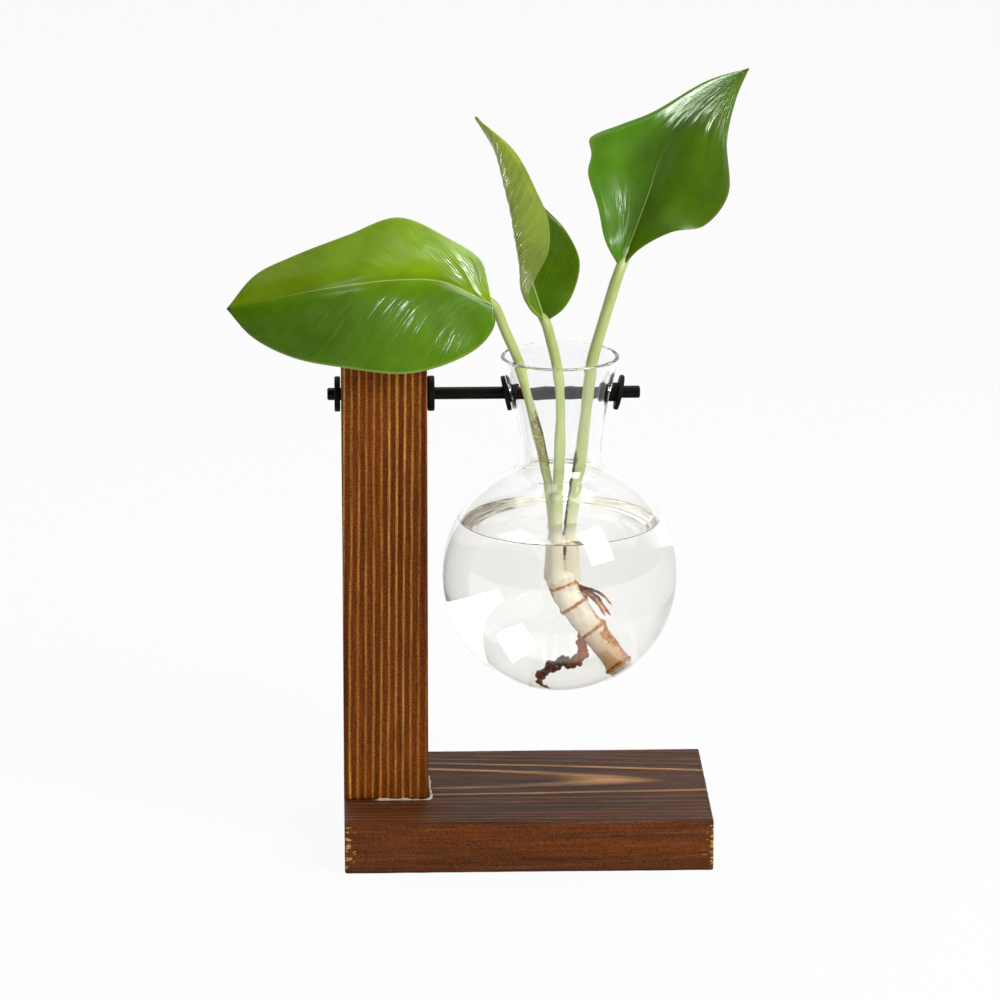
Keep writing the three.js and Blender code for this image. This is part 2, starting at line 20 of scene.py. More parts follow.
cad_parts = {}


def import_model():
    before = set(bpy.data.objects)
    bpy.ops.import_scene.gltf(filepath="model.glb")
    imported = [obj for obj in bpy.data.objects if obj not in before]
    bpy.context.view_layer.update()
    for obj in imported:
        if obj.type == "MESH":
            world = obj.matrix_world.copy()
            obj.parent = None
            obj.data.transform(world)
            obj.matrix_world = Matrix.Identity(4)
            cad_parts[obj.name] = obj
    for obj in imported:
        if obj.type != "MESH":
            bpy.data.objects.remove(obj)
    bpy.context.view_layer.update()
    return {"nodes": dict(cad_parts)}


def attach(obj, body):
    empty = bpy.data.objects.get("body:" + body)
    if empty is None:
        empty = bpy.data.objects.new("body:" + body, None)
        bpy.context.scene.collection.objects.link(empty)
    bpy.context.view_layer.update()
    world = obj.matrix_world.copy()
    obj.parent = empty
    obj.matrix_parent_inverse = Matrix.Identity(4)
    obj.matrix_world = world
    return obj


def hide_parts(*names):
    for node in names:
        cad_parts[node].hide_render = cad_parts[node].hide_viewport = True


LOG = logging.getLogger("vase")
MM = 0.001
FULL_TURN = 2 * math.pi
QUARTER_TURN = math.pi / 2
NOTHING = 1e-9
LATTICE_SIZE = 16
ROD_HEIGHT = 157.5
ROD_RADIUS = 2.1
# A noise node's values mostly lie between these, which go to a Map Range node's second and third socket
MOST_NOISE = {1: 0.3, 2: 0.7}

Point = Sequence[float]
Outline = list[tuple[float, float]]
Colour = tuple[float, float, float, float]


def linear(code: str) -> Colour:
    """Turn an sRGB hex colour into linear light.

    Args:
        code: colour such as "#6b3410".

    Returns:
        Red, green, blue and alpha for a colour socket.
    """
    parts = [int(code[i : i + 2], 16) / 255 for i in (1, 3, 5)]
    return (*(c / 12.92 if c <= 0.04045 else ((c + 0.055) / 1.055) ** 2.4 for c in parts), 1.0)


def add_node(
    tree: bpy.types.NodeTree, kind: str, inputs: dict | None = None, **settings: Any
) -> bpy.types.NodeOutputs:
    """Add a node with its settings and links.

    Args:
        tree: node tree that gets the node.
        kind: Blender's type name of the node.
        inputs: sockets by name or index, each with a value, the output that feeds it or a list of those.
        settings: the node's own properties.

    Returns:
        The new node's outputs.
    """
    node = tree.nodes.new(kind)
    for key, value in settings.items():
        setattr(node, key, value)
    for key, value in (inputs or {}).items():
        for feed in value if isinstance(value, list) else [value]:
            if isinstance(feed, bpy.types.NodeSocket):
                tree.links.new(feed, node.inputs[key])
            else:
                node.inputs[key].default_value = feed
    return node.outputs


def fresh_nodes(owner: bpy.types.Material | bpy.types.World) -> functools.partial:
    """Empty a material's or a world's node tree, and bind add_node to it."""
    owner.use_nodes = True
    owner.node_tree.nodes.clear()
    return functools.partial(add_node, owner.node_tree)


def smooth_noise(points: np.ndarray, cell: float, seed: int) -> np.ndarray:
    """Give smooth noise on a lattice of fixed random values.

    Args:
        points: rows of x, y, z.
        cell: size of a lattice cell, in the points' units.
        seed: picks the lattice.

    Returns:
        One value from -1 to 1 per point.
    """
    lattice = np.random.default_rng(seed).uniform(-1, 1, (LATTICE_SIZE,) * 3)
    scaled = np.asarray(points, float) / cell
    low = np.floor(scaled).astype(int)
    part = scaled - low
    part = part * part * (3 - 2 * part)
    total = np.zeros(len(scaled))
    for corner in itertools.product((0, 1), repeat=3):
        weight = np.prod(np.where(corner, part, 1 - part), axis=1)
        total += weight * lattice[tuple(((low + corner) % LATTICE_SIZE).T)]
    return total


def bell(offset: np.ndarray, width: float) -> np.ndarray:
    """Give a smooth bump of height 1 that fades over width."""
    return np.exp(-((offset / width) ** 2))


def ramp(values: np.ndarray) -> np.ndarray:
    """Hold values between 0 and 1."""
    return np.clip(values, 0, 1)


def unit(rows: Sequence[Point] | Point) -> np.ndarray:
    """Scale each row to length 1."""
    rows = np.asarray(rows)
    return rows / np.maximum(np.linalg.norm(rows, axis=-1, keepdims=True), NOTHING)


def lengths_along(path: np.ndarray) -> np.ndarray:
    """Measure how far along a path each of its points lies."""
    return np.concatenate([[0], np.cumsum(np.linalg.norm(np.diff(path, axis=0), axis=1))])


def spline(knots: Sequence[Point], per_span: int) -> np.ndarray:
    """Follow the centripetal Catmull-Rom curve through knots.

    Args:
        knots: points on the curve.
        per_span: steps between two knots.

    Returns:
        Rows of x, y, z, with every knot among them.
    """
    knots = np.asarray(knots, float)
    padded = np.vstack([2 * knots[0] - knots[1], knots, 2 * knots[-1] - knots[-2]])
    t = np.linspace(0, 1, per_span, endpoint=False)[:, None]
    spans = []
    for a, b, c, d in zip(padded, padded[1:], padded[2:], padded[3:]):
        g, h, k = (max(np.linalg.norm(q - p), NOTHING) ** 0.5 for p, q in ((a, b), (b, c), (c, d)))
        leave = ((b - a) / g - (c - a) / (g + h) + (c - b) / h) * h
        arrive = ((c - b) / h - (d - b) / (h + k) + (d - c) / k) * h
        spans.append(
            (2 * t**3 - 3 * t**2 + 1) * b
            + (t**3 - 2 * t**2 + t) * leave
            + (3 * t**2 - 2 * t**3) * c
            + (t**3 - t**2) * arrive
        )
    return np.vstack([*spans, knots[-1:]])


def evenly(path: np.ndarray, count: int) -> np.ndarray:
    """Pick count points along a path, evenly spaced by length."""
    lengths = lengths_along(path)
    wanted = np.linspace(0, lengths[-1], count)
    return np.stack([np.interp(wanted, lengths, path[:, k]) for k in range(3)], axis=1)


def pin(radius: float, low: float, high: float) -> Outline:
    """Draw the outline of a plain pin, for turning."""
    return [(0, low), (radius, low), (radius, high), (0, high)]


def rounded_rim(radius: float, low: float, high: float, fillet: float, steps: int) -> Outline:
    """Draw the rim of a disc with rounded corners, for turning.

    Args:
        radius: the disc's radius.
        low: height of its lower face.
        high: height of its upper face.
        fillet: the corners' radius.
        steps: points to each corner.

    Returns:
        Points of radius and height.
    """
    corner = [(math.sin(a) * fillet, math.cos(a) * fillet) for a in np.linspace(0, QUARTER_TURN, steps)]
    flat = radius - fillet
    lower = [(flat + s, low + fillet - c) for s, c in corner]
    return lower + [(flat + c, high - fillet + s) for s, c in corner]


def along_rod(x: float) -> Matrix:
    """Lay an upright turned solid along the rod, with its foot at x."""
    return Matrix.Translation((x, 0, ROD_HEIGHT)) @ Matrix.Rotation(QUARTER_TURN, 4, "Y")


@dataclass
class Shell:
    """A closed skin over rings of points, with a single point at each end."""

    points: np.ndarray
    faces: list[tuple[int, ...]]
    along: np.ndarray
    around: np.ndarray

    @classmethod
    def over(cls, rings: np.ndarray, first: np.ndarray, last: np.ndarray) -> Shell:
        """Skin the rings.

        Args:
            rings: array of ring, point on the ring, coordinate.
            first: point that closes the first ring.
            last: point that closes the last ring.

        Returns:
            The shell, with each point's share along the rings and around its ring.
        """
        count, sides = rings.shape[:2]
        ends = (count * sides, count * sides + 1)
        index = np.arange(count * sides).reshape(count, sides)
        turned = np.roll(index, -1, axis=1)
        quads = np.stack([index[:-1], turned[:-1], turned[1:], index[1:]], axis=-1).reshape(-1, 4)
        faces = [tuple(quad) for quad in quads.tolist()]
        faces += [(ends[0], b, a) for a, b in zip(index[0].tolist(), turned[0].tolist())]
        faces += [(ends[1], a, b) for a, b in zip(index[-1].tolist(), turned[-1].tolist())]
        along = np.repeat(np.linspace(0, 1, count), sides)
        around = np.tile(np.arange(sides) / sides, count)
        return cls(
            np.vstack([rings.reshape(-1, 3), [first], [last]]),
            faces,
            np.concatenate([along, [0, 1]]),
            np.concatenate([around, [0, 0]]),
        )

    @classmethod
    def tube(cls, path: np.ndarray, radii: np.ndarray, sides: int) -> tuple[Shell, np.ndarray]:
        """Skin a tube along a path.

        Args:
            path: rows of x, y, z.
            radii: a radius per row.
            sides: points round the tube.

        Returns:
            The closed tube, and the way outward from the path at each of its points.
        """
        tangents = unit(np.gradient(path, axis=0))
        askew = (0.31, 0.87, 0.39)
        normal = np.cross(tangents[0], askew)
        normals = []
        for tangent in tangents:
            normal = unit(normal - tangent * normal.dot(tangent))
            normals.append(normal)
        normals = np.asarray(normals)[:, None]
        across = np.cross(tangents, normals[:, 0])[:, None]
        angles = (np.arange(sides) * FULL_TURN / sides)[:, None]
        spokes = normals * np.cos(angles) + across * np.sin(angles)
        shell = cls.over(path[:, None] + radii[:, None, None] * spokes, path[0], path[-1])
        middle = np.vstack([np.repeat(path, sides, axis=0), path[:1], path[-1:]])
        return shell, unit(shell.points - middle)


def face_outwards(mesh: bpy.types.Mesh) -> None:
    """Turn a closed mesh's faces outwards."""
    shell = bmesh.new()
    shell.from_mesh(mesh)
    bmesh.ops.recalc_face_normals(shell, faces=shell.faces)
    shell.to_mesh(mesh)
    shell.free()


def dress_mesh(mesh: bpy.types.Mesh, material: bpy.types.Material, crease: float) -> None:
    """Shade a mesh and give it its finish.

    Args:
        mesh: the finished mesh.
        material: the piece's finish.
        crease: edges sharper than this many degrees stay sharp.
    """
    mesh.shade_smooth()
    mesh.set_sharp_from_angle(angle=math.radians(crease))
    mesh.materials.clear()
    mesh.materials.append(material)


def add_to_scene(name: str, data: bpy.types.ID) -> bpy.types.Object:
    """Make an object of some data and put it in the scene."""
    thing = bpy.data.objects.new(name, data)
    bpy.context.scene.collection.objects.link(thing)
    return thing


def make_object(
    name: str,
    points: np.ndarray,
    faces: Sequence[Sequence[int]],
    material: bpy.types.Material,
    fields: dict[str, np.ndarray] | None = None,
    crease: float = 45,
) -> bpy.types.Object:
    """Make a mesh object whose faces point outwards.

    Args:
        name: the piece's name.
        points: rows of x, y, z.
        faces: corner indices of each face.
        material: the piece's finish.
        fields: named values per point, for the finish to read.
        crease: edges sharper than this many degrees stay sharp.

    Returns:
        The object, in the scene.
    """
    mesh = bpy.data.meshes.new(name)
    mesh.from_pydata((np.asarray(points) * MM).tolist(), [], [list(map(int, face)) for face in faces])
    for key, values in (fields or {}).items():
        mesh.attributes.new(key, "FLOAT", "POINT").data.foreach_set("value", np.asarray(values, np.float32))
    face_outwards(mesh)
    dress_mesh(mesh, material, crease)
    return add_to_scene(name, mesh)


def plain_mesh(source: bpy.types.Object) -> bpy.types.Mesh:
    """Turn an object and its modifiers into a plain mesh, and remove the modifiers."""
    bpy.context.view_layer.update()
    mesh = bpy.data.meshes.new_from_object(source.evaluated_get(bpy.context.evaluated_depsgraph_get()))
    source.modifiers.clear()
    return mesh


def combine(piece: bpy.types.Object, other: bpy.types.Object, operation: str, crease: float = 40) -> None:
    """Cut another solid out of a piece, or join it to the piece, and remove it.

    Args:
        piece: the solid that changes.
        other: the solid that it loses or takes in.
        operation: DIFFERENCE or UNION.
        crease: edges sharper than this many degrees stay sharp.
    """
    material = piece.data.materials[0]
    step = piece.modifiers.new("combine", "BOOLEAN")
    step.operation, step.object, step.solver = operation, other, "EXACT"
    piece.data = plain_mesh(piece)
    dress_mesh(piece.data, material, crease)
    bpy.data.objects.remove(other)


def settle(piece: bpy.types.Object, body: str, slot: str, *nodes: str) -> None:
    """Let a piece ride on its body, in place of the plain solids that it stands for.

    Args:
        piece: the finished piece.
        body: the body that carries it.
        slot: the record's material slot; not used.
        nodes: the solids that it replaces.
    """
    if nodes:
        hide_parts(*nodes)
    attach(piece, body)
    LOG.info("%s rides on %s, %d faces", piece.name, body, len(piece.data.polygons))


class NodeTool:
    """A Geometry Nodes tree with named inputs, which is run on an object and leaves a plain mesh."""

    def __init__(self, name: str, inputs: dict[str, str], result: str) -> None:
        """Start the tree.

        Args:
            name: the tree's name.
            inputs: each input's name and the kind of its socket. One of them is the finish.
            result: the output's name.
        """
        self.tree = bpy.data.node_groups.new(name, "GeometryNodeTree")
        face = self.tree.interface
        self.keys = {
            label: face.new_socket(label, in_out="INPUT", socket_type=f"NodeSocket{kind}").identifier
            for label, kind in inputs.items()
        }
        self.result = result
        face.new_socket(result, in_out="OUTPUT", socket_type="NodeSocketGeometry")
        self.add = functools.partial(add_node, self.tree)
        self.given = self.add("NodeGroupInput")

    def close(self, geometry: bpy.types.NodeSocket) -> None:
        """End the tree in real faces that carry the finish."""
        real = self.add("GeometryNodeRealizeInstances", {"Geometry": geometry})[0]
        coat = {"Geometry": real, "Material": self.given["Finish"]}
        self.add("NodeGroupOutput", {self.result: self.add("GeometryNodeSetMaterial", coat)[0]})

    def run_on(self, source: bpy.types.Object, values: dict[str, Any]) -> bpy.types.Mesh:
        """Run the tree on an object.

        Args:
            source: the object.
            values: the inputs by name.

        Returns:
            The plain mesh that comes out.
        """
        step = source.modifiers.new(self.tree.name, "NODES")
        step.node_group = self.tree
        for label, value in values.items():
            step[self.keys[label]] = value
        return plain_mesh(source)


class Turning(NodeTool):
    """Geometry Nodes that turn an outline round the upright axis, as a glass blower or a lathe does."""

    crease: float = 40

    def __init__(self) -> None:
        """Build the tree once."""
        inputs = {"Outline": "Geometry", "Facets": "Int", "Path radius": "Float", "Finish": "Material"}
        super().__init__("turn_outline", inputs, "Solid")
        add, given = self.add, self.given
        wheel = {"Resolution": given["Facets"], "Radius": given["Path radius"]}
        circle = add("GeometryNodeCurvePrimitiveCircle", wheel)["Curve"]
        path = add("GeometryNodeSetCurveNormal", {"Curve": circle}, mode="Z_UP")["Curve"]
        swept = add("GeometryNodeCurveToMesh", {"Curve": path, "Profile Curve": given["Outline"]})["Mesh"]
        self.close(add("GeometryNodeMergeByDistance", {"Geometry": swept, "Distance": 1e-6})["Geometry"])

    def solid(
        self,
        name: str,
        outline: Outline,
        material: bpy.types.Material,
        place: Matrix,
        facets: int = 64,
        loop: bool = False,
    ) -> bpy.types.Object:
        """Turn one outline.

        Args:
            name: the piece's name.
            outline: points of radius and height.
            material: the piece's finish.
            place: moves the solid from the upright axis to its place.
            facets: steps round the axis.
            loop: whether the outline closes on itself, as a ring's does.

        Returns:
            The object, with its place in its mesh.
        """
        reach = max(radius for radius, _ in outline)
        curve = bpy.data.curves.new(name + "_outline", "CURVE")
        curve.dimensions = "3D"
        run = curve.splines.new("POLY")
        run.points.add(len(outline) - 1)
        for knot, (radius, height) in zip(run.points, outline):
            knot.co = ((radius - reach) * MM, -height * MM, 0, 1)
        run.use_cyclic_u = loop
        source = add_to_scene(name + "_outline", curve)
        mesh = self.run_on(source, {"Facets": facets, "Path radius": reach * MM, "Finish": material})
        bpy.data.objects.remove(source)
        mesh.transform(Matrix.Scale(MM, 4) @ place @ Matrix.Scale(1 / MM, 4))
        face_outwards(mesh)
        dress_mesh(mesh, material, self.crease)
        return add_to_scene(name, mesh)


class KnobScatter(NodeTool):
    """Geometry Nodes that sow rounded knobs over a root, as thick as its skin's own field says."""

    def __init__(self) -> None:
        """Build the tree once."""
        inputs = {
            "Root": "Geometry",
            "Knobs per area": "Float",
            "Smallest": "Float",
            "Largest": "Float",
            "Seed": "Int",
            "Finish": "Material",
        }
        super().__init__("sow_knobs", inputs, "Knobbed root")
        add, given = self.add, self.given
        thick = add("GeometryNodeInputNamedAttribute", {"Name": "knobs"}, data_type="FLOAT")["Attribute"]
        density = add("ShaderNodeMath", {0: thick, 1: given["Knobs per area"]}, operation="MULTIPLY")[0]
        seeds = {"Mesh": given["Root"], "Density": density, "Seed": given["Seed"]}
        sown = add("GeometryNodeDistributePointsOnFaces", seeds)["Points"]
        ball = add("GeometryNodeMeshIcoSphere", {"Radius": 1.0, "Subdivisions": 3})["Mesh"]
        sizes = {2: given["Smallest"], 3: given["Largest"], "Seed": given["Seed"]}
        size = add("FunctionNodeRandomValue", sizes)[1]
        knobs = add("GeometryNodeInstanceOnPoints", {"Points": sown, "Instance": ball, "Scale": size})[0]
        self.close(add("GeometryNodeJoinGeometry", {0: [knobs, given["Root"]]})[0])

    def sow(self, root: bpy.types.Object, number: float, sizes: tuple[float, float], seed: int) -> None:
        """Sow knobs over one root.

        Args:
            root: the root, whose mesh has the field "knobs".
            number: knobs per square millimetre where the field is 1.
            sizes: smallest and largest radius.
            seed: picks their places.
        """
        values = {
            "Knobs per area": number / MM**2,
            "Smallest": sizes[0] * MM,
            "Largest": sizes[1] * MM,
            "Seed": seed,
            "Finish": root.data.materials[0],
        }
        root.data = self.run_on(root, values)
        root.data.shade_smooth()


class Finish:
    """What the finishes share: a name, and one Principled shader that their nodes feed."""

    name: str

    def surface(self, add: functools.partial) -> dict[str, Any]:
        """Draw the surface.

        Args:
            add: add_node, bound to the material's tree.

        Returns:
            The shader's sockets by name, each with a value or the output that feeds it.
        """
        raise NotImplementedError

    def material(self) -> bpy.types.Material:
        """Build the material."""
        material = bpy.data.materials.new(self.name)
        add = fresh_nodes(material)
        shader = add("ShaderNodeBsdfPrincipled", self.surface(add))
        add("ShaderNodeOutputMaterial", {"Surface": shader["BSDF"]})
        return material


class Grain(Enum):
    """Which way a timber's fibres run: fibres per millimetre, each about 0.55 wide and 16 long."""

    LENGTHWISE = (1 / 16, 1 / 0.55, 1 / 0.55)
    UPRIGHT = (1 / 0.55, 1 / 0.55, 1 / 16)


@dataclass(frozen=True)
class TorchedTimber(Finish):
    """Softwood that was scorched and brushed: dark fibres with paler late-wood lines, satin to matt."""

    name: str
    grain: Grain
    char: str
    body: str
    line: str
    rough: float
    line_width: float
    gloss: float = 0.2
    raw: str = "#c8924f"
    blotch: float = 7.0
    pore: float = 0.5
    splinter: tuple[float, float, float] = (2.0, 1.0, 1 / 1.1)
    relief: float = 0.25

    def surface(self, add: functools.partial) -> dict[str, Any]:
        """Draw the timber over the growth rings that the mesh carries."""
        place = add("ShaderNodeTexCoord")["Object"]
        ring, glow, chip, scorch = (
            add("ShaderNodeAttribute", attribute_name=key)["Fac"]
            for key in ("ring", "glow", "chip", "scorch")
        )
        part = add("ShaderNodeMath", {0: ring}, operation="FRACT")[0]
        aside = add("ShaderNodeMath", {0: part, 1: 0.5}, operation="SUBTRACT")[0]
        apart = add("ShaderNodeMath", {0: aside}, operation="ABSOLUTE")[0]
        edges = {0: apart, 1: 0.1 * self.line_width, 2: self.line_width, 3: 1.0, 4: 0.0}
        line = add("ShaderNodeMapRange", edges, interpolation_type="SMOOTHSTEP")[0]
        # The flame leaves blotches several fibres wide and long
        noises = []
        for size, detail in ((1.0, {"Detail": 5.0, "Roughness": 0.7}), (self.blotch, {"Detail": 2.0})):
            steps = tuple(step / size / MM for step in self.grain.value)
            drawn = add("ShaderNodeMapping", {"Vector": place, "Scale": steps})[0]
            noises.append(add("ShaderNodeTexNoise", {"Vector": drawn, "Scale": 1.0, **detail})[0])
        fibre, blotch = noises
        patch = add("ShaderNodeMapRange", {0: blotch, **MOST_NOISE, 3: -0.3, 4: 0.3})[0]
        burn = add("ShaderNodeMath", {0: scorch, 1: patch}, operation="ADD", use_clamp=True)[0]
        broken = add("ShaderNodeMapRange", {0: fibre, 1: 0.3, 2: 0.58, 3: 0.45, 4: 1.0})[0]
        fresh = add("ShaderNodeMapRange", {0: blotch, 1: 0.35, 2: 0.65, 3: 0.6, 4: 1.15})[0]
        strength = line
        for layer in (glow, broken, fresh):
            strength = add("ShaderNodeMath", {0: strength, 1: layer}, operation="MULTIPLY")[0]
        # Open pores speckle the brushed face
        grit = add("ShaderNodeTexNoise", {"Vector": place, "Scale": 1 / (self.pore * MM), "Detail": 2.0})[0]
        shade = add("ShaderNodeMapRange", {0: fibre, **MOST_NOISE, 3: 0.52, 4: 1.42})[0]
        speckle = add("ShaderNodeMapRange", {0: grit, 1: 0.38, 2: 0.62, 3: 0.62, 4: 1.4})[0]
        shade = add("ShaderNodeMath", {0: shade, 1: speckle}, operation="MULTIPLY")[0]
        # Splinters are torn out along the end grain
        torn = tuple(1 / (size * MM) for size in self.splinter)
        torn = add("ShaderNodeMapping", {"Vector": place, "Scale": torn})[0]
        tear = add("ShaderNodeTexNoise", {"Vector": torn, "Scale": 1.0, "Detail": 2.0})[0]
        loose = add("ShaderNodeMath", {0: chip, 1: 0.28, 2: tear}, operation="MULTIPLY_ADD")[0]
        gone = add("ShaderNodeMapRange", {0: loose, 1: 0.78, 2: 0.84})[0]
        colour = linear(self.body)
        for share, coat in ((burn, self.char), (strength, self.line)):
            colour = add("ShaderNodeMix", {0: share, 6: colour, 7: linear(coat)}, data_type="RGBA")[2]
        shaded = {0: 1.0, 6: colour, 7: shade}
        colour = add("ShaderNodeMix", shaded, data_type="RGBA", blend_type="MULTIPLY")[2]
        colour = add("ShaderNodeMix", {0: gone, 6: colour, 7: linear(self.raw)}, data_type="RGBA")[2]
        satin = {0: fibre, **MOST_NOISE, 3: self.rough + 0.14, 4: self.rough - 0.08}
        height = add("ShaderNodeMath", {0: fibre, 1: line}, operation="ADD")[0]
        height = add("ShaderNodeMath", {0: grit, 1: 0.5, 2: height}, operation="MULTIPLY_ADD")[0]
        ridges = {"Strength": 0.4, "Distance": self.relief * MM, "Height": height}
        return {
            "Base Color": colour,
            "Roughness": add("ShaderNodeMapRange", satin)[0],
            "Normal": add("ShaderNodeBump", ridges)[0],
            "Specular IOR Level": self.gloss,
        }


@dataclass(frozen=True)
class ClearFinish(Finish):
    """A clear body that shows by its edges: blown soda glass, or still water inside it."""

    name: str
    tint: str
    bend: float

    def surface(self, add: functools.partial) -> dict[str, Any]:
        """Let the light through, bent."""
        return {
            "Base Color": linear(self.tint),
            "Roughness": 0.0,
            "IOR": self.bend,
            "Transmission Weight": 1.0,
        }


@dataclass(frozen=True)
class FineGrained(Finish):
    """A coat or moulding with a fine grain: an even colour broken by speckle and a soft gloss."""

    name: str
    low: str
    high: str
    rough: float
    grain: float
    metallic: float = 0.0
    bump: float = 0.1
    gloss: float = 0.5
    cloud: float = 0.12
    depth: float = 0.1

    def surface(self, add: functools.partial) -> dict[str, Any]:
        """Draw the speckle at the grain's size, and clouds several times as wide."""
        place = add("ShaderNodeTexCoord")["Object"]
        fine = 1 / (self.grain * MM)
        speck = add("ShaderNodeTexNoise", {"Vector": place, "Scale": fine, "Detail": 4.0})[0]
        wide = self.cloud / (self.grain * MM)
        cloud = add("ShaderNodeTexNoise", {"Vector": place, "Scale": wide, "Detail": 2.0})[0]
        share = add("ShaderNodeMapRange", {0: cloud, **MOST_NOISE})[0]
        tones = {0: share, 6: linear(self.low), 7: linear(self.high)}
        sheen = {0: speck, **MOST_NOISE, 3: self.rough - 0.08, 4: self.rough + 0.1}
        grains = {"Strength": self.bump, "Distance": self.depth * MM, "Height": speck}
        return {
            "Base Color": add("ShaderNodeMix", tones, data_type="RGBA")[2],
            "Roughness": add("ShaderNodeMapRange", sheen)[0],
            "Normal": add("ShaderNodeBump", grains)[0],
            "Metallic": self.metallic,
            "Specular IOR Level": self.gloss,
        }


# Soda glass shows as thin bright and dark edges, and water as the picture that it turns over
GLASS = ClearFinish("blown_soda_glass", "#feffff", bend=1.5)
WATER = ClearFinish("still_water", "#fffdf9", bend=1.333)
# Lacquer on steel is satin black, and moulded rubber is a duller black
BLACK_STEEL = FineGrained("black_lacquered_steel", "#080704", "#120e07", rough=0.36, grain=0.4, gloss=0.1)
BLACK_RUBBER = FineGrained("moulded_rubber", "#0a0b07", "#12140e", rough=0.55, grain=0.5, gloss=0.1)
# Glue that squeezed out dries pale and lumpy
GLUE = FineGrained("dried_wood_glue", "#a58a70", "#d8cfc0", rough=0.5, grain=0.6, bump=0.4)
# Zinc plating is a bright grey metal with a faint cloud
ZINC = FineGrained("zinc_plated_steel", "#8f8b84", "#b8b4ac", rough=0.32, grain=0.5, metallic=1.0)
# A drill leaves raw brown wood
DRILLED = FineGrained("drilled_wood", "#5c3a20", "#6d4526", rough=0.7, grain=0.5)


class Pleats(Enum):
    """Which way the fine pleats of a blade run."""

    ALONG_VEINS = "veins"
    ALONG_RIB = "rib"

    @property
    def across(self) -> float:
        """How far the blade quilts between its side veins."""
        return 1.0 if self is Pleats.ALONG_VEINS else 0.0


